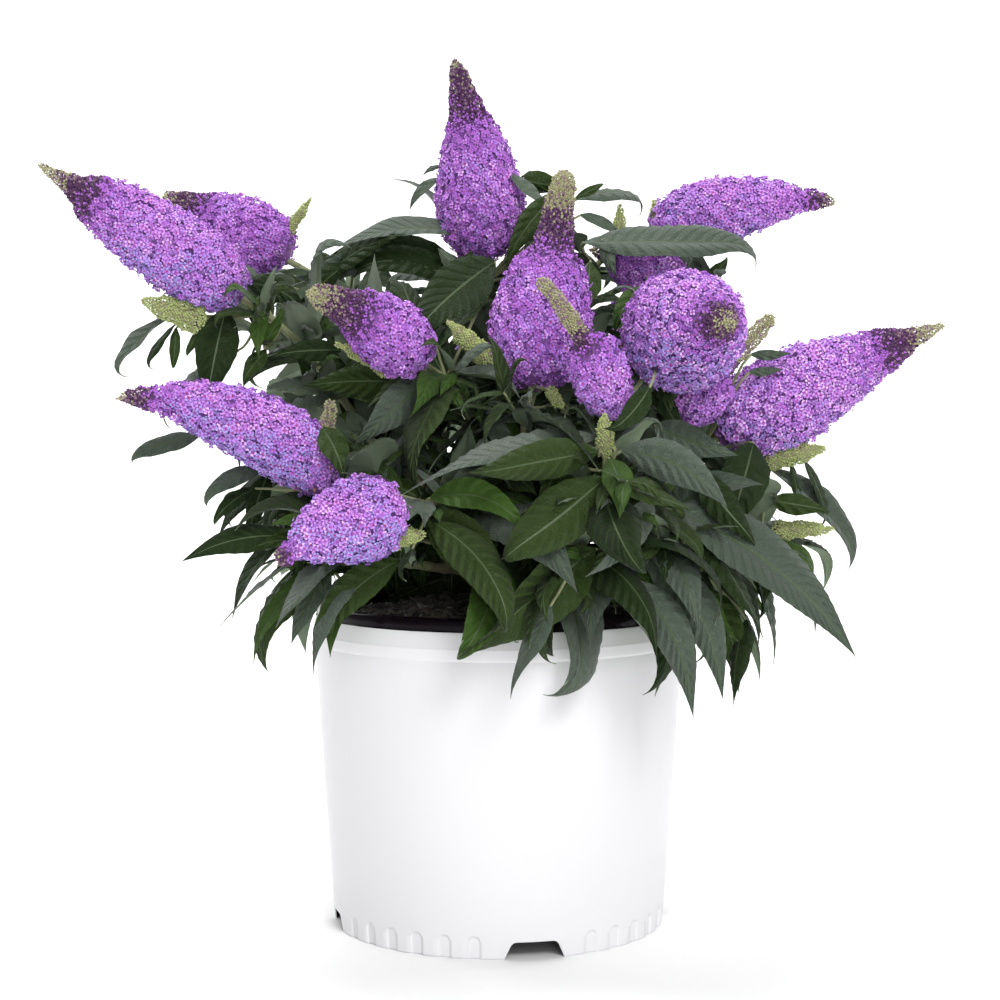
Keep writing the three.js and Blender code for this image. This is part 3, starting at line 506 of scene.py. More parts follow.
def tube(heap, path, radii, sides, slot=0, squareness=0.0, roughness=0.0, seed=0):
    """A round stem through points, a little square or rough if asked, closed at both ends by its taper."""
    ways = unit(np.gradient(path, axis=0))
    side = crossways(ways[0])
    turn = np.arange(sides) * 2 * math.pi / sides
    rings = []
    for point, way, radius in zip(path, ways, radii):
        side = unit(side - way * side.dot(way))
        over = np.cross(way, side)
        uneven = 1 + squareness * np.cos(4 * turn)
        if roughness:
            places = [Vector((seed + 2.2 * math.cos(a), 2.2 * math.sin(a), 0.16 * point[2])) for a in turn]
            uneven = uneven + roughness * np.array([noise.noise(place) for place in places])
        out = np.cos(turn)[:, None] * side + np.sin(turn)[:, None] * over
        rings.append(point + radius * uneven[:, None] * out)
    caps = [np.repeat(path[:1], sides, axis=0), np.repeat(path[-1:], sides, axis=0)]
    heap.add(np.concatenate([caps[0], *rings, caps[1]]), sheet(len(rings) + 2, sides, closed=True), slot)


def stem_radii(shoot, shares):
    """The radius along a shoot's whole way, swollen at each joint."""
    bare = 1 - SHOOT_SHARE
    radii = np.interp(shares, [0, bare, 1], [shoot["thick"], SHOOT_R, TIP_R])
    scars = [bare * k / 3 for k in (1, 2)] + [share for _, _, share in shoot["joints"]]
    for scar in scars:
        radii = radii * (1 + JOINT_SWELL * np.exp(-(((shares - scar) * shoot["long"] / JOINT_HALF) ** 2)))
    return radii


stem_bark = finish("stem_bark", (0.20, 0.17, 0.10), 600, 0.6, 0.85, 0.6, 0.0005)
old_bark = finish("old_bark", (0.13, 0.095, 0.06), 450, 0.7, 0.9, 0.9, 0.0008)
stem_heap = Heap()
base_z = np.array([201, 203.5, 206, 209, 213, 217, 221, 225, 229, 233, 237, 239.4, BASE_TOP_Z])
base_r = np.array([16.5, 16, 14, 12.5, 11.4, 10.9, 10.6, 10.2, 9.8, 9.3, 7.6, 4.2, 0.4])
tube(stem_heap, np.stack([0 * base_z, 0 * base_z, base_z], axis=1), base_r, 40, slot=1, roughness=0.3)
for shoot in SHOOTS:
    shares = np.linspace(0, 1 - SHOOT_SHARE + 0.01, 30)
    path = at_share(shoot["path"], shares)
    tube(stem_heap, path, stem_radii(shoot, shares), 12, roughness=0.22, seed=shoot["number"] * 5.3)
stem_piece = stem_heap.piece("woody_stems", [stem_bark, old_bark])
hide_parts("stem_base", *[shoot["name"] + "_stem" for shoot in SHOOTS])

# ---- The leafy shoots, and the leaves that stand out from the bush ----
# Shoots are four-sided with rounded edges. A leaf is long and lance-shaped, quilted between its sunken
# side veins above and felted pale grey-green below. It arches out on a short stalk.
TWIG_R = 1.3
TWIG_TIP_R = 0.8
VEIN_GAP = 7.5
ACROSS = np.array([-1, -0.74, -0.4, -0.04, 0.04, 0.4, 0.74, 1])
ACROSS_SMALL = np.array([-1, -0.55, -0.06, 0.06, 0.55, 1])
SMALL = 62
SHEAR = 0.5
SHEET_THICK = 0.35
QUILT = 0.03
DROOP_AT_ROOT = 0.16
DROOP_LEAST = 0.55
DROOP_GROWS = 0.9
HOOK_FROM = 0.7
BLADE_SKEW = 0.7
BLADE_POINT = 1.2
BLADE_FOOT = 0.12
BLADE_FOOT_HALF = 0.9
CRIMP = 0.02
WAVES = 15
RIB_DEEP = 0.4
RIB_GROWS = 0.02
KINDS = {"dark": 0, "mid": 1, "grey": 2, "fresh": 3}
UNDERSIDE = 4
RIB = 5

# Leaves that give the bush its outline and its face: shoot, where the blade starts, heading, pitch,
# length, width as seen from the front, how far it bends down, and kind. The grey kind goes to leaves that
# catch the light, painted sheen on their grey-green.
PLACED_SEED = 5000
BROAD = 0.25
FRONT = np.array([0.0, -1.0, 0.0])
PLACED_LEAVES = [
    ("right_high", (54, -20, 441), -11, -6, 130, 18, 20, "grey"),
    ("top", (50, 0, 470), 15, -4, 62, 9, 75, "grey"),
    ("top", (46, 0, 468), -20, 80, 17, 5, 5, "fresh"),
    ("top", (50, 0, 471), 10, 20, 24, 6, 20, "mid"),
    ("top", (53, 0, 460), -10, -34, 34, 8, 60, "grey"),
    ("top", (-38, 25, 486), -165, -38, 32, 6, 40, "grey"),
    ("top", (-37, 25, 494), -165, -18, 16, 3, 40, "grey"),
    ("top", (8, 10, 487), -30, -48, 44, 10, 30, "grey"),
    ("top", (12, 20, 484), 5, -15, 36, 16, 40, "mid"),
    ("right_high", (66, -25, 442), -60, -68, 28, 10, 20, "grey"),
    ("top", (39, -5, 474), -164, -52, 62, 17, 30, "mid"),
    ("top", (-19, 43, 416), 170, 30, 96, 14, 100, "grey"),
    ("top", (-24, 36, 420), -165, 10, 104, 22, 60, "dark"),
    ("left_back", (-118, 10, 418), -20, 24, 70, 14, 40, "dark"),
    ("left_high", (-172, -42, 398), -120, -76, 66, 27, 20, "dark"),
    ("left_high", (-207, -45, 393), 180, -48, 60, 8, 45, "grey"),
    ("left_high", (-204, -45, 388), -170, -60, 38, 4, 30, "dark"),
    ("left_high", (-203, -45, 386), -100, -84, 30, 7, 10, "mid"),
    ("left_high", (-186, -45, 389), -160, -68, 27, 5, 20, "mid"),
    ("left_high", (-165, -36, 372), -163, -40, 78, 12, 35, "grey"),
    ("left_mid", (-2, -40, 428), -134, -38, 95, 34, 35, "dark"),
    ("right_low", (158, -68, 314), -112, -59, 76, 30, 35, "dark"),
    ("right_low", (172, -40, 297), -22, -42, 90, 12, 34, "grey"),
    ("right_low", (184, -50, 301), -60, -76, 34, 6, 20, "dark"),
    ("right_low", (192, -50, 303), -30, -70, 48, 7, 25, "dark"),
    ("front_low", (58, -158, 312), -157, -15, 84, 24, 25, "mid"),
    ("front_low", (71, -158, 312), -26, -15, 76, 24, 35, "grey"),
    ("front_low", (64, -163, 308), -70, -46, 44, 18, 30, "fresh"),
    ("front_low", (90, -150, 283), -125, -45, 72, 20, 35, "grey"),
    ("skirt_front", (57, -138, 254), -158, -48, 106, 40, 45, "mid"),
    ("skirt_front", (30, -158, 222), -120, -58, 62, 14, 35, "grey"),
    ("skirt_right", (98, -112, 279), -12, -27, 150, 24, 10, "grey"),
    ("skirt_right", (74, -138, 236), -39, -49, 98, 23, 60, "grey"),
    ("skirt_right", (86, -128, 248), -33, -47, 104, 22, 60, "grey"),
    ("skirt_right", (122, -102, 228), -38, -58, 72, 20, 50, "mid"),
    ("front_left", (-42, -142, 272), -33, -34, 106, 22, 30, "mid"),
    ("front_left", (-40, -140, 284), -28, 2, 76, 17, 30, "fresh"),
    ("back_centre", (-8, 72, 258), 96, -30, 132, 36, 50, "dark"),
    ("back_centre", (20, 66, 262), 62, -34, 124, 33, 50, "mid"),
    ("back_centre", (-30, 62, 264), 128, -34, 126, 34, 50, "mid"),
    ("back_left", (-52, 30, 262), -165, -52, 66, 24, 25, "dark"),
    ("back_left", (-34, 44, 262), -150, -56, 62, 24, 25, "mid"),
    ("back_centre", (-20, 30, 252), -140, -58, 50, 22, 20, "dark"),
    ("back_centre", (-62, 50, 256), -120, -56, 56, 22, 20, "dark"),
    ("back_left", (-84, 30, 258), -120, -58, 56, 20, 20, "mid"),
    ("back_centre", (-64, 70, 258), -100, -62, 52, 22, 10, "dark"),
    ("back_centre", (-42, 74, 262), -80, -64, 56, 22, 10, "dark"),
    ("back_centre", (-18, 76, 258), -95, -62, 52, 22, 10, "dark"),
    ("back_centre", (-4, 60, 224), 178, -10, 86, 30, 12, "dark"),
    ("back_centre", (-26, 66, 234), -172, -18, 70, 24, 20, "mid"),
    ("skirt_left", (-118, -110, 259), -160, -1, 78, 11, 20, "dark"),
    ("skirt_left", (-106, -120, 241), -147, -44, 76, 15, 45, "fresh"),
    ("skirt_left", (-84, -130, 244), -130, -58, 78, 12, 65, "grey"),
    ("skirt_left", (-92, -120, 228), -120, -64, 44, 11, 30, "fresh"),
    ("skirt_left", (-122, -120, 246), -160, -40, 62, 3, 20, "grey"),
    ("top", (-24, 20, 450), -160, -3, 90, 13, 35, "grey"),
    ("top", (-29, 30, 419), -160, 7, 86, 18, 60, "dark"),
    ("top", (40, 10, 430), -52, -60, 51, 15, 20, "dark"),
    ("left_back", (-81, 20, 431), -151, -13, 64, 16, 30, "grey"),
    ("left_back", (-97, 10, 430), -135, -38, 54, 15, 40, "dark"),
    ("left_high", (-162, -20, 415), -25, -21, 52, 17, 60, "dark"),
    ("left_high", (-147, -50, 375), -131, 68, 35, 11, 10, "fresh"),
    ("left_high", (-147, -50, 375), -18, 56, 29, 8, 10, "fresh"),
    ("left_high", (-147, -50, 375), -152, 34, 25, 5, 30, "grey"),
    ("left_high", (-146, -50, 372), -121, -42, 32, 12, 20, "mid"),
    ("left_mid", (-98, -60, 372), -155, -6, 47, 14, 20, "dark"),
    ("left_mid", (-46, -70, 351), -158, -3, 80, 24, 25, "mid"),
    ("left_mid", (-41, -80, 354), -135, -38, 72, 24, 30, "grey"),
    ("left_mid", (-43, -85, 356), -38, -32, 39, 11, 30, "fresh"),
    ("left_mid", (-57, -10, 405), -45, -52, 45, 17, 30, "dark"),
    ("left_low", (-105, -120, 325), -40, -54, 39, 17, 20, "mid"),
    ("left_low", (-76, -110, 302), -50, -32, 46, 13, 35, "mid"),
    ("centre", (26, -60, 346), -143, -29, 95, 14, 30, "dark"),
    ("centre", (38, -70, 341), -152, -23, 68, 12, 35, "grey"),
    ("centre", (1, -40, 353), -155, -27, 54, 21, 30, "dark"),
    ("front_low", (59, -140, 320), -158, -16, 123, 13, 40, "grey"),
    ("front_low", (62, -157, 297), -149, -44, 93, 33, 25, "mid"),
    ("front_low", (36, -140, 305), -121, -56, 31, 10, 10, "mid"),
    ("front_low", (92, -140, 295), -132, -60, 80, 22, 20, "mid"),
    ("skirt_front", (1, -130, 247), -102, -57, 80, 26, 25, "fresh"),
    ("front_left", (-44, -130, 275), -26, -39, 89, 30, 30, "mid"),
    ("front_left", (-17, -110, 281), -19, -15, 65, 23, 25, "dark"),
    ("front_right", (86, -175, 349), -149, -61, 40, 15, 20, "dark"),
    ("right_high", (58, -30, 428), -97, -71, 46, 18, 30, "mid"),
    ("right_high", (95, -40, 410), -148, -28, 43, 14, 30, "fresh"),
    ("right_high", (133, 10, 417), 0, 27, 26, 10, 20, "mid"),
    ("right_high", (118, -10, 402), -20, -10, 36, 16, 20, "mid"),
    ("right_low", (94, -110, 326), -36, -30, 58, 20, 25, "grey"),
    ("right_low", (156, -70, 369), -23, -10, 26, 7, 20, "grey"),
    ("right_low", (155, -70, 358), -13, -5, 22, 6, 20, "grey"),
    ("right_low", (121, -110, 299), -42, -60, 60, 20, 20, "dark"),
    ("right_skirt", (168, -70, 279), -16, -18, 39, 14, 30, "mid"),
    ("right_skirt", (161, -80, 242), -85, -64, 68, 13, 20, "grey"),
    ("skirt_right", (121, -110, 269), -58, -57, 86, 20, 30, "dark"),
    ("skirt_right", (114, -120, 234), -57, -48, 53, 15, 20, "fresh"),
    ("skirt_right", (149, -110, 209), -114, -49, 66, 11, 20, "dark"),
    ("skirt_left", (-131, -100, 256), -150, -56, 60, 9, 70, "dark"),
    ("skirt_left", (-59, -130, 247), -154, -37, 85, 21, 35, "mid"),
    ("left_low", (-145, -70, 299), -156, -21, 53, 11, 30, "grey"),
    ("left_low", (-151, -70, 286), -146, -30, 41, 9, 30, "dark"),
    ("left_low", (-185, -70, 319), -169, -13, 53, 11, 10, "grey"),
    ("skirt_left", (-143, -60, 297), -124, -62, 51, 14, 20, "dark"),
    ("skirt_left", (-71, -110, 269), -147, -22, 59, 17, 25, "dark"),
]


def dice(seed):
    """A seeded row of numbers between a low and a high value, the same on every run."""
    state = (seed * 2654435761 + 12345) % 2**32

    def roll(low, high):
        nonlocal state
        state = (state * 1664525 + 1013904223) % 2**32
        return low + (high - low) * state / 2**32

    return roll


def turned(vector, axis, degrees):
    angle = math.radians(degrees)
    axis = unit(axis)
    return (vector * math.cos(angle) + np.cross(axis, vector) * math.sin(angle)
            + axis * axis.dot(vector) * (1 - math.cos(angle)))


def midrib(root, direction, face, length, bends, steps=40):
    """The line of a leaf's midrib, with the way across it and the way up from it at each step. The bends
    are in degrees: down by its own weight, sideways, round the rib, and back at the tip."""
    droop, curl, twist, hook = bends
    heading, side = direction, unit(np.cross(direction, face))
    points, sides, ups = [root], [side], [unit(np.cross(side, heading))]
    for step in range(steps):
        share = (step + 1) / steps
        lead = DROOP_AT_ROOT if step == 0 else 0
        bend = (DROOP_LEAST + DROOP_GROWS * share) / steps
        heading = unit(heading - UP * math.radians(droop) * (bend + lead)
                       + side * math.radians(curl) * math.sin(math.pi * share) / steps
                       - ups[-1] * math.radians(hook) * (share > HOOK_FROM) / (1 - HOOK_FROM) / steps)
        side = unit(turned(side - heading * side.dot(heading), heading, twist / steps))
        points.append(points[-1] + heading * length / steps)
        sides.append(side)
        ups.append(unit(np.cross(side, heading)))
    return np.array(points), np.array(sides), np.array(ups)


def blade_points(line, length, width, shape, rows, across, veins, lower):
    """The points of one sheet of a blade, row by row. Each row runs forward with the side veins. The shape
    is the fold along the rib, how far the edges roll over, and the wave of the edges and where it starts."""
    points, sides, ups = line
    fold, roll_over, wave, phase = shape
    along, u = np.meshgrid(np.linspace(0, 1, rows), across, indexing="ij")
    forward = SHEAR * width / length * np.sin(math.pi * along) ** 0.7
    share = np.clip(along + forward * np.abs(u), 0, 1)
    ridge = np.where(np.arange(rows)[:, None] % 2 == 1, 1.0, -1.0) * veins
    half = width / 2 * np.clip(np.sin(math.pi * share**BLADE_SKEW), 0, 1) ** BLADE_POINT
    half = np.maximum(half, np.where(share < BLADE_FOOT, BLADE_FOOT_HALF, 0))
    half = half * (1 + CRIMP * ridge * (np.abs(u) > 0.9))
    fade = np.clip(half / (width / 2), 0, 1)
    height = half * (fold * np.abs(u) - roll_over * np.abs(u) ** 3)
    height += wave * np.sin(phase + WAVES * share + 1.5 * u) * u**2 * fade
    height += QUILT * width * ridge * fade * (np.abs(u) > 0.1) * (np.abs(u) < 0.9)
    if lower:
        rib = (RIB_DEEP + RIB_GROWS * width) * (np.abs(u) < 0.1) * (1 - share)
        height -= SHEET_THICK * (np.abs(u) < 0.9) + rib
    place = at_share(points, share.ravel()).reshape(share.shape + (3,))
    side = at_share(sides, share.ravel()).reshape(place.shape)
    up = at_share(ups, share.ravel()).reshape(place.shape)
    return (place + side * (u * half)[..., None] + up * height[..., None]).reshape(-1, 3)


def add_blade(heap, line, length, width, shape, kind):
    """A leaf: a quilted upper sheet and, just under it, the felted lower one with the rib standing out."""
    rows = 2 * max(4, round(length / VEIN_GAP)) + 1
    across = ACROSS_SMALL if length < SMALL else ACROSS
    upper = blade_points(line, length, width, shape, rows, across, 1, False)
    slots = np.full((rows - 1, len(across) - 1), KINDS[kind])
    slots[:, len(across) // 2 - 1] = RIB
    swell = np.outer(np.arange(rows) % 2, np.abs(across) > 0.1).ravel()
    heap.add(upper, turned_over(sheet(rows, len(across))), slots.ravel(), swell)
    lower = blade_points(line, length, width, shape, rows, across, 1, True)
    heap.add(lower, sheet(rows, len(across)), UNDERSIDE, -swell)


# Where leaves may go: not through the pot, another leaf or a panicle, and not out of the bush's box.
low_corner, high_corner = (np.array(corner) / MM for corner in solids_box)
grown = []
bodies = []
RIM_CLEAR = 123.5
RIM_OVER = 2
BOX_PLAY = 4
LOWEST = 160
BARE_LEFT = -102
BARE_RIGHT = -8
BARE_HIGH = 231
# Gaps between the boughs, seen from the front: left, right, low, high.
OPEN_AIR = [(150, 220, 374, 490), (54, 112, 452, 500), (152, 190, 342, 372), (-175, -127, 428, 482),
            (-78, -40, 458, 490), (-240, -165, 330, 384)]


def boxed(points, faces):
    tree = BVHTree.FromPolygons(points.tolist(), faces.tolist())
    return dict(tree=tree, low=points.min(axis=0), high=points.max(axis=0))


def fits(trial):
    points = trial["points"]
    in_pot = (np.hypot(points[:, 0], points[:, 1]) < RIM_CLEAR) & (points[:, 2] < POT_HEIGHT + RIM_OVER)
    if in_pot.any() or (points < low_corner - BOX_PLAY).any() or (points > high_corner + BOX_PLAY).any():
        return False
    x, y, z = points.T
    over_mix = (x > BARE_LEFT) & (x < BARE_RIGHT) & (y < 0) & (z < BARE_HIGH)
    if over_mix.any() or z.min() < LOWEST:
        return False
    if any(((x > left) & (x < right) & (z > low) & (z < high)).any() for left, right, low, high in OPEN_AIR):
        return False
    for other in bodies + grown:
        if (trial["low"] > other["high"]).any() or (other["low"] > trial["high"]).any():
            continue
        if trial["tree"].overlap(other["tree"]):
            return False
    return True


# The positions in which a leaf is tried: degrees up, degrees round, and the share of its full size.
TRIES = [(0, 0, 1), (-12, 0, 1), (12, 0, 1), (0, 14, 0.92), (0, -14, 0.92), (-22, 10, 0.84), (20, -10, 0.84),
         (0, 0, 0.7)]
COARSE = np.array([-1, 0, 1])
COARSE_ROWS = 7
CLEAR_FACES = 4
# What chance gives each leaf: degrees of bend sideways, of twist and of hook at its tip, and then its fold,
# how far its edges roll, and the least of their wave.
CURL = (-50, 50)
TWIST = (-55, 55)
HOOK = (-10, 140)
FOLD = (0.25, 0.8)
EDGE_ROLL = (0.15, 0.8)
WAVE_LEAST = 0.3


def grow_leaf(heap, root, direction, face, length, width, droop, roll, kind, tries=8, sure=False):
    """Tries a leaf in a few positions and adds the first that is clear of everything, or, if it is sure,
    the very first."""
    bends = (droop, roll(*CURL), roll(*TWIST), roll(*HOOK))
    shape = (roll(*FOLD), roll(*EDGE_ROLL), roll(WAVE_LEAST, 0.05 * width + 0.4), roll(0, 6.3))
    for tilt, swing, share in TRIES[:tries]:
        way = turned(direction, UP, swing)
        way = turned(way, crossways(way), tilt)
        line = midrib(root, way, face, length * share, bends)
        points = blade_points(line, length * share, width * share, shape, COARSE_ROWS, COARSE, 0, False)
        trial = boxed(points, sheet(COARSE_ROWS, len(COARSE))[CLEAR_FACES:])
        trial["points"] = points
        if sure or fits(trial):
            grown.append(trial)
            add_blade(heap, line, length * share, width * share, shape, kind)
            return True
    return False


def sector(shoot):
    side = "left" if shoot["tip"][0] < 0 else "right"
    return ("front_" if shoot["tip"][1] < 0 else "back_") + side


leaf_heaps = {name: Heap() for name in ("front_left", "front_right", "back_left", "back_right")}
twig_heap = Heap()

for shoot in SHOOTS:
    shares = np.linspace(1 - SHOOT_SHARE, 1, 60)
    path = at_share(shoot["path"], shares)
    tube(twig_heap, path, stem_radii(shoot, shares), 8, squareness=0.07)

for number, (name, place, heading, pitch, length, width, droop, kind) in enumerate(PLACED_LEAVES):
    shoot = shoot_named[name]
    roll = dice(PLACED_SEED + number)
    place = np.array(place, float)
    direction = pointing(heading, pitch + droop / 2)
    reach = at_share(shoot["path"], np.linspace(1 - SHOOT_SHARE + 0.05, 0.97, 30))
    joint = reach[np.linalg.norm(reach - place, axis=1).argmin()]
    stalk, _, _ = bezier([joint, joint * 0.5 + place * 0.5 - UP * 4, place - 6 * direction, place], 9)
    tube(twig_heap, stalk, np.linspace(TWIG_R, TWIG_TIP_R, 9), 6)
    full = max(width, BROAD * length)
    forward = unit(np.cross(np.cross(direction, FRONT), direction))
    edgeways = np.cross(direction, forward)
    edgeways = edgeways * (1 if edgeways[2] > 0 else -1)
    face = unit(forward * width / full + edgeways * math.sqrt(1 - (width / full) ** 2))
    grow_leaf(leaf_heaps[sector(shoot)], place, direction, face, length, full, droop, roll, kind, sure=True)


# ---- The panicles ----
# Each is a spike of small clusters of four-petalled florets round a stalk, opening from the foot up: the
# oldest fade to blue, the youngest are violet, and past them stand dark buds, then green ones at the tip.
FULLEST = 0.3
SHOULDER = 0.05
FLORET = 4.5
FLORET_ROOM = 6.6
FLORET_LEAN = 0.38
YOUNG_SPAN = 0.16
YOUNG_SHRINK = 0.22
BUD_SIZE = (1.6, 2.3)
BUD_ROOM = 2.6
BUD_LEAN = 0.4
CYME_ROOM = 95
CYME_R = 6.5
KNOB = 3.0
BUD_KNOB = 1.5
CORE_SINK = 3.2
ROOM_ROUND = 14
CORE_SIDES = 14
HULL_SIDES = 8
GOLDEN_TURN = 2.39996
WITHERED_ROOM = 30
WITHERED_SIZE = 3.2
PETAL_COLOURS = {
    "floret_pink": (0.64, 0.28, 0.82),
    "floret_lilac": (0.55, 0.27, 0.82),
    "floret_soft": (0.48, 0.30, 0.81),
    "floret_blue": (0.38, 0.33, 0.76),
    "floret_violet": (0.42, 0.14, 0.62),
    "floret_pale": (0.75, 0.46, 0.91),
    "floret_throat": (0.42, 0.16, 0.60),
    "floret_eye": (0.50, 0.04, 0.08),
    "bud_dark": (0.095, 0.032, 0.108),
    "bud_mauve": (0.25, 0.15, 0.21),
    "bud_olive": (0.37, 0.36, 0.20),
    "bud_green": (0.42, 0.50, 0.19),
    "withered": (0.26, 0.12, 0.07),
    # The colour below is painted shade, for the dark that shows between the florets.
    "panicle_shade_core": (0.21, 0.075, 0.31),
}
PETAL = {name: number for number, name in enumerate(PETAL_COLOURS)}


def panicle_r(share, parts):
    """The radius along a panicle, to its greatest: full near the foot, a slim spire past the florets."""
    opened = parts["opened"]
    foot, end = parts["spire"]
    rising = np.sin(math.pi / 2 * np.sqrt(np.clip(share / FULLEST, 0, 1)))
    falling = 1 - (np.clip(share - FULLEST, 0, 1) / (1 - FULLEST)) ** parts["taper"]
    full = np.where(share < FULLEST, rising, np.maximum(falling, 0.1))
    spire = end + (foot - end) * (1 - np.clip((share - opened) / (1 - opened), 0, 1)) ** parts["slim"]
    change = np.clip((share - opened + SHOULDER) / (2 * SHOULDER), 0, 1)
    change = change * change * (3 - 2 * change)
    blunt = np.sqrt(1 - np.clip((share - 0.94) / 0.06, 0, 1) ** 2)
    return (full + (np.minimum(full + 0.15, spire) - full) * change) * blunt


# A floret faces up: four broad blunt petals round a deep throat with a small red eye.
petal_shape = np.array([
    (0.02, 0.0, -0.16), (0.25, -0.22, 0.08), (0.48, -0.13, 0.0), (0.48, 0.13, 0.0), (0.25, 0.22, 0.08),
])
petal_faces = np.array([(0, 1, 4), (1, 2, 3), (1, 3, 4)])
floret_points, floret_faces = [], []
for quarter, (c, s) in enumerate([(1, 0), (0, 1), (-1, 0), (0, -1)]):
    x, y, z = petal_shape.T
    floret_faces.append(petal_faces + len(petal_shape) * quarter)
    floret_points.append(np.stack([x * c - y * s, x * s + y * c, z], axis=1))
eye_ring = [(0.1, 0, -0.06), (0, 0.1, -0.06), (-0.1, 0, -0.06), (0, -0.1, -0.06)]
floret_points = np.concatenate([*floret_points, eye_ring])
floret_faces = np.concatenate([*floret_faces, [(20, 21, 22), (20, 22, 23)]])
floret_throat = np.arange(len(floret_faces)) % len(petal_faces) == 0
floret_eye = np.arange(len(floret_faces)) >= 4 * len(petal_faces)
bud_points = np.array([(0, 0, -0.5), (0.5, 0, 0), (0, 0.5, 0), (-0.5, 0, 0), (0, -0.5, 0), (0, 0, 0.75)])
bud_faces = np.array([(1, 2, 5), (2, 3, 5), (3, 4, 5), (4, 1, 5), (2, 1, 0), (3, 2, 0), (4, 3, 0), (1, 4, 0)])


def strew(heap, shape, faces, places, normals, sizes, slots, rng, lean):
    """Copies of a small shape at many places, each turned and leaned by chance."""
    count = len(places)
    up = unit(normals + rng.normal(0, lean, (count, 3)))
    across = unit(np.cross(up, rng.normal(0, 1, (count, 3))))
    over = np.cross(up, across)
    frames = np.stack([across, over, up], axis=1)
    points = places[:, None, :] + sizes[:, None, None] * np.einsum("pk,nkc->npc", shape, frames)
    every = faces[None] + len(shape) * np.arange(count)[:, None, None]
    heap.add(points.reshape(-1, 3), every.reshape(-1, faces.shape[1]), slots.ravel())


def spiral(low, high, room, parts, rng):
    """Shares and turns of even places on a panicle between two shares of it, one to each room of area."""
    shares = np.linspace(low, high, 300)
    length, radius = parts["length"], parts["girth"] / 2 * panicle_r(shares, parts)
    bands = math.pi * (radius[1:] + radius[:-1]) * length * np.diff(shares)
    area = np.concatenate([[0], np.cumsum(bands)])
    count = max(4, int(area[-1] / room))
    spots = (np.arange(count) + 0.5 + rng.uniform(-0.8, 0.8, count)) / count
    share = np.interp(np.clip(spots, 0, 1) * area[-1], area, shares)
    return share, (np.arange(count) * GOLDEN_TURN + rng.uniform(-0.08, 0.08, count)) % (2 * math.pi)


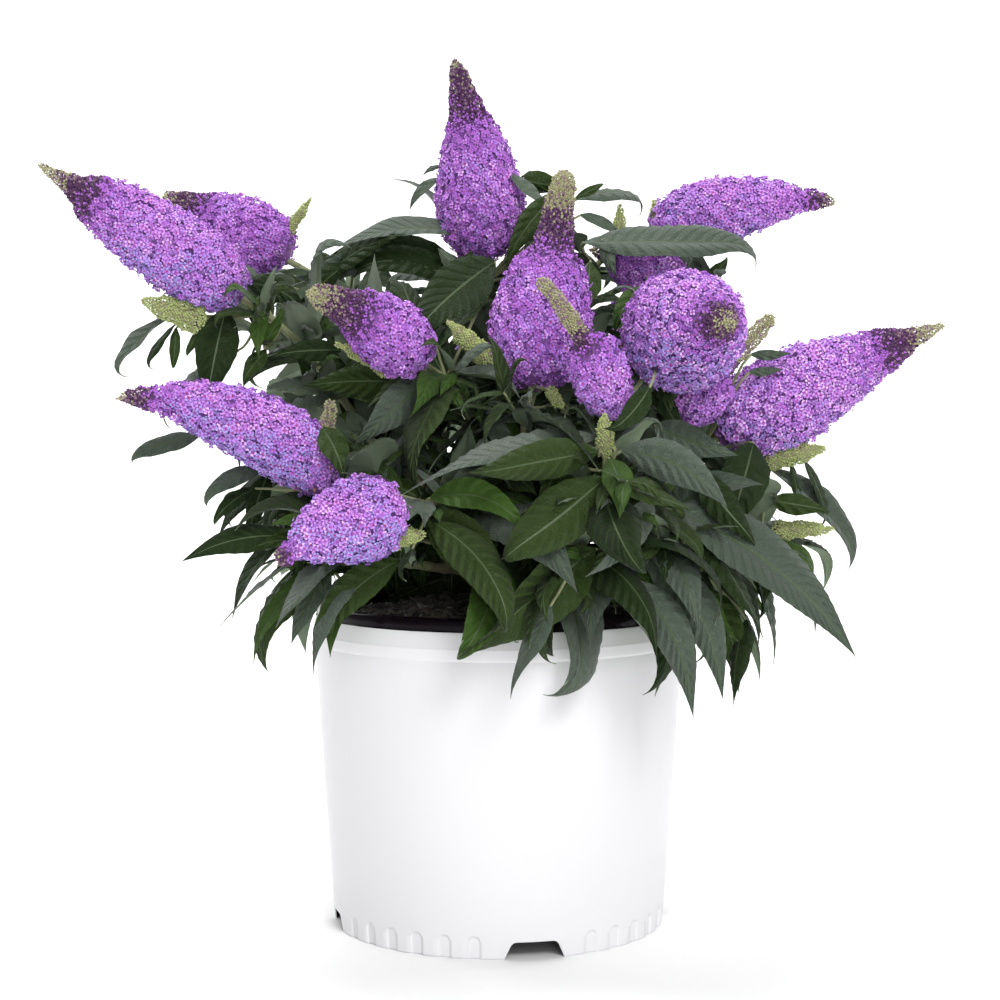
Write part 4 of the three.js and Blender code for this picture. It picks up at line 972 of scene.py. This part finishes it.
def grow_panicle(heap, foot, direction, parts, seed):
    """One panicle on its bowed axis, from its foot in the way it points."""
    rng = np.random.RandomState(seed)
    length, girth, opened = parts["length"], parts["girth"], parts["opened"]
    tip = foot + direction * length
    rise = UP - direction * direction[2]
    middle = (foot + tip) / 2 + rise * 2 * parts["bow"] + np.array(parts["sway"])
    axis, ways, _ = bezier([foot, middle, tip])
    side0 = crossways(direction)

    def on_surface(share, turn, sink=0.0):
        way = unit(at_share(ways, share))
        side = unit(side0 - way * (way @ side0)[:, None])
        out = np.cos(turn)[:, None] * side + np.sin(turn)[:, None] * np.cross(way, side)
        radius = girth / 2 * panicle_r(share, parts)
        after, before = (panicle_r(np.clip(share + step, 0, 1), parts) for step in (0.01, -0.01))
        slope = girth / 2 * (after - before) / (0.02 * length)
        normal = unit(out - way * np.clip(slope, -1.5, 3)[:, None])
        return at_share(axis, share) + out * np.maximum(radius - sink, 0.3)[:, None], normal

    # The dark core under the florets: painted shade that shows in the gaps between them, and past the florets
    # it takes the colour of the dark buds.
    shares = np.append(np.linspace(0.005, 0.96, 26), 1.0)
    turns = np.arange(CORE_SIDES) * 2 * math.pi / CORE_SIDES
    sink = CORE_SINK if girth > 16 else CORE_SINK / 2
    core = [on_surface(np.full(CORE_SIDES, s), turns, sink)[0] for s in shares]
    core_shade = np.where(shares < opened - 0.02, PETAL["panicle_shade_core"], PETAL["bud_dark"])
    slots = np.repeat(np.where(shares > parts["green"], PETAL["bud_olive"], core_shade)[:-1], CORE_SIDES)
    heap.add(np.concatenate(core), sheet(len(core), CORE_SIDES, closed=True), slots)

    if opened > 0:
        # The florets, which stand out in knobs, one to each small cluster.
        cymes, cyme_turns = spiral(0.0, opened, CYME_ROOM, parts, rng)
        centres = on_surface(cymes, cyme_turns)[0]
        share, turn = spiral(0.0, opened, FLORET_ROOM, parts, rng)
        places, normals = on_surface(share, turn, 1.8)
        gaps = places[:, None, :] - centres[None]
        near = np.linalg.norm(gaps, axis=2)
        closest = near.argmin(axis=1)
        nearness = near[np.arange(len(near)), closest]
        knob = np.clip(1 - (nearness / CYME_R) ** 2, -0.3, 1)
        places = places + normals * (KNOB * (knob - 0.45) + rng.normal(0, 0.8, len(places)))[:, None]
        normals = unit(normals + 0.09 * gaps[np.arange(len(near)), closest])
        # They fade to blue in patches, with age, and near the foot, the oldest part, they are bluer still on
        # the florets that face down: partly age and partly painted shade under the panicle.
        young = np.clip((share - opened + YOUNG_SPAN) / YOUNG_SPAN, 0, 1)
        foot_age_under_shade = np.clip(-normals[:, 2] + 0.15, 0, 1) * np.clip(1.3 - share / opened, 0, 1) * 1.6
        patch = np.array([noise.noise(Vector(p) * 0.05 + Vector((seed, 0, 0))) for p in places.tolist()])
        age = 0.25 + 0.35 * patch + parts["aged"] * (foot_age_under_shade + 0.5 * patch) + rng.normal(0, 0.11, len(places))
        kinds = np.clip(np.floor(4 * age), PETAL["floret_pink"], PETAL["floret_blue"]).astype(int)
        # Pale florets: partly ones that have paled, partly painted light on a panicle that stands in the
        # light.
        kinds = np.where(rng.uniform(0, 1, len(places)) < parts["pale"], PETAL["floret_pale"], kinds)
        # Violet florets: the young ones near the opening, and over and above them a share all over the
        # panicle that is painted shade for one standing in shadow.
        young_share = young * 0.85 + 0.04 + parts["deep"]
        kinds = np.where(rng.uniform(0, 1, len(places)) < young_share, PETAL["floret_violet"], kinds)
        sizes = FLORET * rng.uniform(0.88, 1.12, len(places)) * (1 - YOUNG_SHRINK * young)
        slots = np.where(floret_throat, PETAL["floret_throat"], kinds[:, None])
        slots = np.where(floret_eye, PETAL["floret_eye"], slots)
        strew(heap, floret_points, floret_faces, places, normals, sizes, slots, rng, FLORET_LEAN)

    # The buds, some of them violet and about to open, and greener towards the tip.
    start = max(opened - 0.02, 0.0)
    share, turn = spiral(start, 0.995, BUD_ROOM, parts, rng)
    places, normals = on_surface(share, turn, 0.9)
    lumps = np.array([noise.noise(Vector(p) * 0.21 + Vector((0, seed, 0))) for p in places.tolist()])
    places = places + normals * (BUD_KNOB * lumps + rng.uniform(-0.4, 0.6, len(places)))[:, None]
    normals = unit(normals + 0.4 * unit(at_share(ways, share)))
    ripe = rng.uniform(0, 1, len(places))
    towards_tip = (share - opened) / max(parts["green"] - opened, 0.05) + rng.normal(0, 0.22, len(places))
    if opened == 0:
        kinds = np.where(ripe < 0.8, PETAL["bud_green"], PETAL["bud_olive"])
    else:
        kinds = np.where(ripe < 0.72, PETAL["bud_dark"], PETAL["bud_mauve"])
        kinds = np.where((ripe > 0.5) & (towards_tip < 0.3), PETAL["floret_violet"], kinds)
        kinds = np.where(towards_tip > 1, np.where(ripe < 0.8, PETAL["bud_olive"], PETAL["bud_mauve"]), kinds)
    sizes = rng.uniform(*BUD_SIZE, len(places)) * np.where(share > parts["green"], 0.85, 1)
    slots = np.repeat(kinds[:, None], len(bud_faces), axis=1)
    strew(heap, bud_points, bud_faces, places, normals, sizes, slots, rng, BUD_LEAN)

    # A few withered florets at the foot.
    share, turn = spiral(0.0, 0.18, WITHERED_ROOM, parts, rng)
    few = rng.permutation(len(share))[: parts["withered"]]
    if len(few):
        places, normals = on_surface(share[few], turn[few], -0.8)
        slots = np.full((len(few), len(bud_faces)), PETAL["withered"])
        withered = bud_points * (0.5, 0.9, 1.4)
        sizes = np.full(len(few), WITHERED_SIZE)
        strew(heap, withered, bud_faces, places, normals, sizes, slots, rng, 0.8)

    # What a leaf has to stay clear of.
    turns = np.arange(HULL_SIDES) * math.pi / 4
    shares = np.linspace(0.01, 0.99, HULL_SIDES)
    hull = [on_surface(np.full(HULL_SIDES, s), turns, 1 - ROOM_ROUND * s)[0] for s in shares]
    bodies.append(boxed(np.concatenate(hull), sheet(len(hull), HULL_SIDES, closed=True)))


SIDE_STALK_R = 1.7
SIDE_STALK_TIP_R = 1.2
BUNCHES = {
    "blossom_high_left": ("left_high", "left_back", "left_mid"),
    "blossom_low_left": ("left_low", "front_left"),
    "blossom_middle": ("top", "centre"),
    "blossom_front": ("front_right",),
    "blossom_right": ("right_high", "right_low", "back_mid"),
    "blossom_back": ("back_left", "back_centre", "back_right"),
}
bloom_heaps = {name: Heap() for name in BUNCHES}
heap_of = {name: bloom_heaps[bunch] for bunch, names in BUNCHES.items() for name in names}
spike_heap = Heap()
for shoot in SHOOTS:
    tip, arrive = shoot["tip"], shoot["arrive"]
    seed = 100 * shoot["number"]
    if "bloom" in shoot:
        stalk = np.array([tip - STALK * arrive * 1.3, tip, tip + 14 * arrive])
        tube(twig_heap, stalk, [TIP_R, TIP_R, TWIG_R], 8)
        grow_panicle(heap_of[shoot["name"]], tip, arrive, shoot["bloom"], seed)
    for number, part in enumerate(shoot.get("sides", [])):
        foot = tip + np.array(part["place"])
        way = pointing(part["heading"], part["pitch"])
        begin = tip + (3 if "bloom" in shoot else -2) * arrive
        stalk, _, _ = bezier([begin, begin * 0.5 + foot * 0.5 - UP * 2, foot - 4 * way, foot + 5 * way], 9)
        tube(twig_heap, stalk, np.linspace(SIDE_STALK_R, SIDE_STALK_TIP_R, 9), 7)
        heap = heap_of[shoot["name"]] if part["opened"] else spike_heap
        grow_panicle(heap, foot, way, part, seed + number + 1)

petal_finishes = [
    finish(name, colour, 900, 0.45, 0.65, 0.25, 0.0002, Sheen_Weight=0.15, Specular_IOR_Level=0.25)
    for name, colour in PETAL_COLOURS.items()
]
for bunch, names in BUNCHES.items():
    piece = bloom_heaps[bunch].piece(bunch, petal_finishes, smooth=False)
    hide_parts(*[name + "_panicle" for name in names])
spike_piece = spike_heap.piece("bud_spikes", petal_finishes, smooth=False)

# ---- The leaves along the shoots ----
# Opposite pairs at every joint, each pair crossing the one below it, long low down and shorter near the
# blossom. Beside a pair stand smaller leaves and side twigs with tufts of them.
LEAF_LOW = 142
LEAF_HIGH = 90
LEAF_SLIM = 0.29
LEAF_ANGLE = (48, 66)
LEAF_DROOP = (38, 80)
SMALL_LEAF = 0.52
SMALL_DROOP = (20, 50)
TUFT_LONG = (12, 42)
TUFT_DROOP = (10, 50)
# Out at the sides, past this reach from the axis, more leaves are of the grey kind: painted sheen where the
# light glances off the flanks of the bush.
SHEEN_GREY_FROM = 75
INNER_KINDS = ["dark", "dark", "mid", "grey"]
OUTER_KINDS = ["dark", "grey", "mid", "grey"]
SMALL_KINDS = ["mid", "mid", "fresh", "grey"]


def pick(roll, kinds):
    return kinds[min(int(roll(0, len(kinds))), len(kinds) - 1)]


def grow_pair(shoot, k, share, along):
    """A pair of leaves at a joint, a smaller pair crossing it, and a tuft or twig beside it."""
    heap = leaf_heaps[sector(shoot)]
    roll = dice(40 * shoot["number"] + k + 1)
    point, tangent = at_share(shoot["path"], along), unit(at_share(shoot["ways"], along))
    outwards = unit(point * (1, 1, 0))
    side = turned(crossways(tangent), tangent, roll(-25, 25) + 90 * k + 30 * shoot["number"])
    face = unit(0.6 * tangent + 0.8 * UP)
    full = LEAF_LOW + (LEAF_HIGH - LEAF_LOW) * share
    for hand in (1, -1):
        spread = math.radians(roll(*LEAF_ANGLE))
        direction = unit(tangent * math.cos(spread) + side * hand * math.sin(spread) + 0.25 * outwards)
        length = full * roll(0.88, 1.08)
        width = length * LEAF_SLIM * roll(0.98, 1.25)
        kind = pick(roll, INNER_KINDS if abs(point[0]) < SHEEN_GREY_FROM else OUTER_KINDS)
        grow_leaf(heap, point, direction, face, length, width, roll(*LEAF_DROOP), roll, kind)
    across = np.cross(side, tangent)
    for hand in (1, -1):
        small = full * SMALL_LEAF * roll(0.7, 1.2)
        way = unit(tangent + across * hand * roll(0.7, 1.3))
        kind = pick(roll, SMALL_KINDS)
        width = small * LEAF_SLIM * 1.1
        grow_leaf(heap, point + 4 * tangent, way, face, small, width, roll(*SMALL_DROOP), roll, kind, 6)
    for hand in (1, -1):
        way = unit(0.8 * tangent + side * hand * roll(0.4, 1.2) + across * roll(-0.8, 0.8))
        grow_tuft(heap, point, way, full, roll)


def grow_tuft(heap, joint, way, full, roll):
    """A short side twig with pairs of small leaves, the last of them at its tip."""
    twig_end = joint + way * roll(*TUFT_LONG)
    stalk, _, _ = bezier([joint, joint * 0.5 + twig_end * 0.5 - UP, twig_end], 7)
    placed = False
    for pair in range(3):
        across_twig = turned(crossways(way), way, roll(0, 60) + 90 * pair)
        foot = at_share(stalk, 1 - 0.3 * pair)
        for hand in (1, -1):
            small = full * SMALL_LEAF * roll(0.6, 1.15) * (0.75 + 0.2 * pair)
            out = unit(way + across_twig * hand * roll(0.5, 1.1))
            kind = pick(roll, SMALL_KINDS + ["dark"])
            width = small * LEAF_SLIM * roll(0.9, 1.2)
            droop = roll(*TUFT_DROOP)
            placed |= grow_leaf(heap, foot, out, unit(way + UP), small, width, droop, roll, kind, 5)
    if placed:
        tube(twig_heap, stalk, np.linspace(TWIG_R, TWIG_TIP_R, 7), 6)


most_pairs = max(len(shoot["joints"]) for shoot in SHOOTS)
for k in range(most_pairs):
    for shoot in SHOOTS:
        if k < len(shoot["joints"]):
            grow_pair(shoot, *shoot["joints"][k])

# The net of veins on a leaf: it swells between its side veins, and there small raised cells stand between
# the finest ones.
SWELL_TO_CELL = 5.0
net, net_in, net_out = shader_group(
    "vein_net",
    {"Size": 560.0, "Low": 0.4, "High": 0.6, "Relief": 0.5, "Depth": 0.0005},
    {"Roughness": "NodeSocketFloat", "Normal": "NodeSocketVector"},
)
coordinates = net.nodes.new("ShaderNodeTexCoord")
cells = net.nodes.new("ShaderNodeTexVoronoi")
cells.feature = "DISTANCE_TO_EDGE"
raised = net.nodes.new("ShaderNodeMapRange")
raised.inputs["From Max"].default_value = 0.3
swell = net.nodes.new("ShaderNodeAttribute")
swell.attribute_name = "swell"
heights = net.nodes.new("ShaderNodeMath")
heights.operation = "MULTIPLY_ADD"
heights.inputs[1].default_value = SWELL_TO_CELL
drift = net.nodes.new("ShaderNodeTexNoise")
drift.inputs["Scale"].default_value = 90
spread = net.nodes.new("ShaderNodeMapRange")
relief = net.nodes.new("ShaderNodeBump")
for start, end in (
    (coordinates.outputs["Object"], cells.inputs["Vector"]),
    (coordinates.outputs["Object"], drift.inputs["Vector"]),
    (net_in.outputs["Size"], cells.inputs["Scale"]),
    (cells.outputs["Distance"], raised.inputs["Value"]),
    (drift.outputs["Fac"], spread.inputs["Value"]),
    (net_in.outputs["Low"], spread.inputs["To Min"]),
    (net_in.outputs["High"], spread.inputs["To Max"]),
    (swell.outputs["Fac"], heights.inputs[0]),
    (raised.outputs["Result"], heights.inputs[2]),
    (heights.outputs["Value"], relief.inputs["Height"]),
    (net_in.outputs["Relief"], relief.inputs["Strength"]),
    (net_in.outputs["Depth"], relief.inputs["Distance"]),
    (spread.outputs["Result"], net_out.inputs["Roughness"]),
    (relief.outputs["Normal"], net_out.inputs["Normal"]),
):
    net.links.new(start, end)


def leaf_finish(name, colour, size=560, low=0.4, relief=0.7, depth=0.0005, shine=0.16, sheen=0.04):
    return finish(name, colour, size, low, low + 0.18, relief, depth, net,
                  Specular_IOR_Level=shine, Sheen_Weight=sheen)


leaf_finishes = [
    leaf_finish("leaf_dark", (0.014, 0.030, 0.006)),
    leaf_finish("leaf_mid", (0.028, 0.052, 0.010)),
    # The grey kind: the leaves' own grey-green, lightened and blued with painted sheen.
    leaf_finish("leaf_grey_sheen", (0.068, 0.096, 0.066), size=620, low=0.42, shine=0.25, sheen=0.15),
    leaf_finish("leaf_fresh", (0.036, 0.078, 0.011), relief=0.5, depth=0.0004),
    finish("leaf_felt", (0.20, 0.26, 0.17), 900, 0.8, 0.95, 0.5, 0.0004),
    finish("leaf_rib", (0.055, 0.088, 0.032), 700, 0.5, 0.65, 0.2),
]
for name, heap in leaf_heaps.items():
    piece = heap.piece("leaves_" + name, leaf_finishes)
    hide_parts(*[shoot["name"] + "_foliage" for shoot in SHOOTS if sector(shoot) == name])

# ---- The skin of the shoots, stalks and twigs ----
# All the soft growth that holds the leaves and the panicles, in one piece: the leafy shoots, the stalks
# of the leaves and panicles, and the side twigs. Its skin is green-buff and finely scurfy.
shoot_skin = finish("shoot_skin", (0.23, 0.25, 0.13), 700, 0.6, 0.8, 0.4, 0.0003)
twig_piece = twig_heap.piece("shoots_and_stalks", [shoot_skin])

# ---- The studio ----
# A pale floor that curves up into a pale backdrop. A broad soft light stands high in front, a little to
# the right, with a weaker one low down, one overhead and two on the backdrop. The camera is a long way
# off, at the height of the leaves.
SWEEP_NEAR = -6000
SWEEP_FAR = 4000
SWEEP_R = 1500
SWEEP_TOP = 5000
SWEEP_HALF = 6000
CAMERA_PLACE = (0.0008, -1.400, 0.3531)
CAMERA_DOWN = 3.19
FOCAL_PX = 2148
FRAME_PX = 1000
SENSOR = 36

studio_heap = Heap()
sweep = [(y, 0.0) for y in np.linspace(SWEEP_NEAR, SWEEP_FAR - SWEEP_R, 6)]
for turn in np.linspace(0.1, math.pi / 2, 12):
    sweep.append((SWEEP_FAR - SWEEP_R + SWEEP_R * math.sin(turn), SWEEP_R - SWEEP_R * math.cos(turn)))
sweep.append((SWEEP_FAR, SWEEP_TOP))
sweep_points = [(x, y, z) for y, z in sweep for x in (-SWEEP_HALF, SWEEP_HALF)]
studio_heap.add(sweep_points, turned_over(sheet(len(sweep), 2)), 0)
studio_paper = finish("studio_paper", (0.93, 0.93, 0.93), 40, 0.7, 0.8, 0.02)
floor_mesh = studio_heap.piece("studio_floor", [studio_paper])


def soft_light(name, place, aim, size, power):
    light = bpy.data.lights.new(name, "AREA")
    light.shape = "SQUARE"
    light.size = size
    light.energy = power
    lamp = bpy.data.objects.new(name, light)
    lamp.location = place
    lamp.rotation_euler = (Vector(aim) - Vector(place)).to_track_quat("-Z", "Y").to_euler()
    bpy.context.scene.collection.objects.link(lamp)


soft_light("key_light", (0.8, -2.3, 1.9), (0, 0, 0.3), 0.9, 40)
soft_light("fill_light", (0.35, -2.6, 0.7), (0, 0, 0.25), 1.0, 16)
soft_light("top_light", (-0.4, 0.2, 2.6), (0, 0, 0.35), 1.0, 34)
soft_light("backdrop_light_left", (-2.6, 1.6, 2.6), (-1.5, 4.0, 1.2), 2.0, 125)
soft_light("backdrop_light_right", (2.6, 1.6, 2.6), (1.5, 4.0, 1.2), 2.0, 125)
world = bpy.data.worlds.new("studio_air")
world.use_nodes = True
world.node_tree.nodes["Background"].inputs["Color"].default_value = (1, 1, 1, 1)
world.node_tree.nodes["Background"].inputs["Strength"].default_value = 0.44
bpy.context.scene.world = world
bpy.context.scene.view_settings.view_transform = "Standard"

camera = bpy.data.cameras.new("camera")
camera.sensor_width = SENSOR
camera.lens = FOCAL_PX / FRAME_PX * SENSOR
viewer = bpy.data.objects.new("camera", camera)
viewer.location = CAMERA_PLACE
viewer.rotation_euler = (math.radians(90 - CAMERA_DOWN), 0, 0)
bpy.context.scene.collection.objects.link(viewer)
bpy.context.scene.camera = viewer
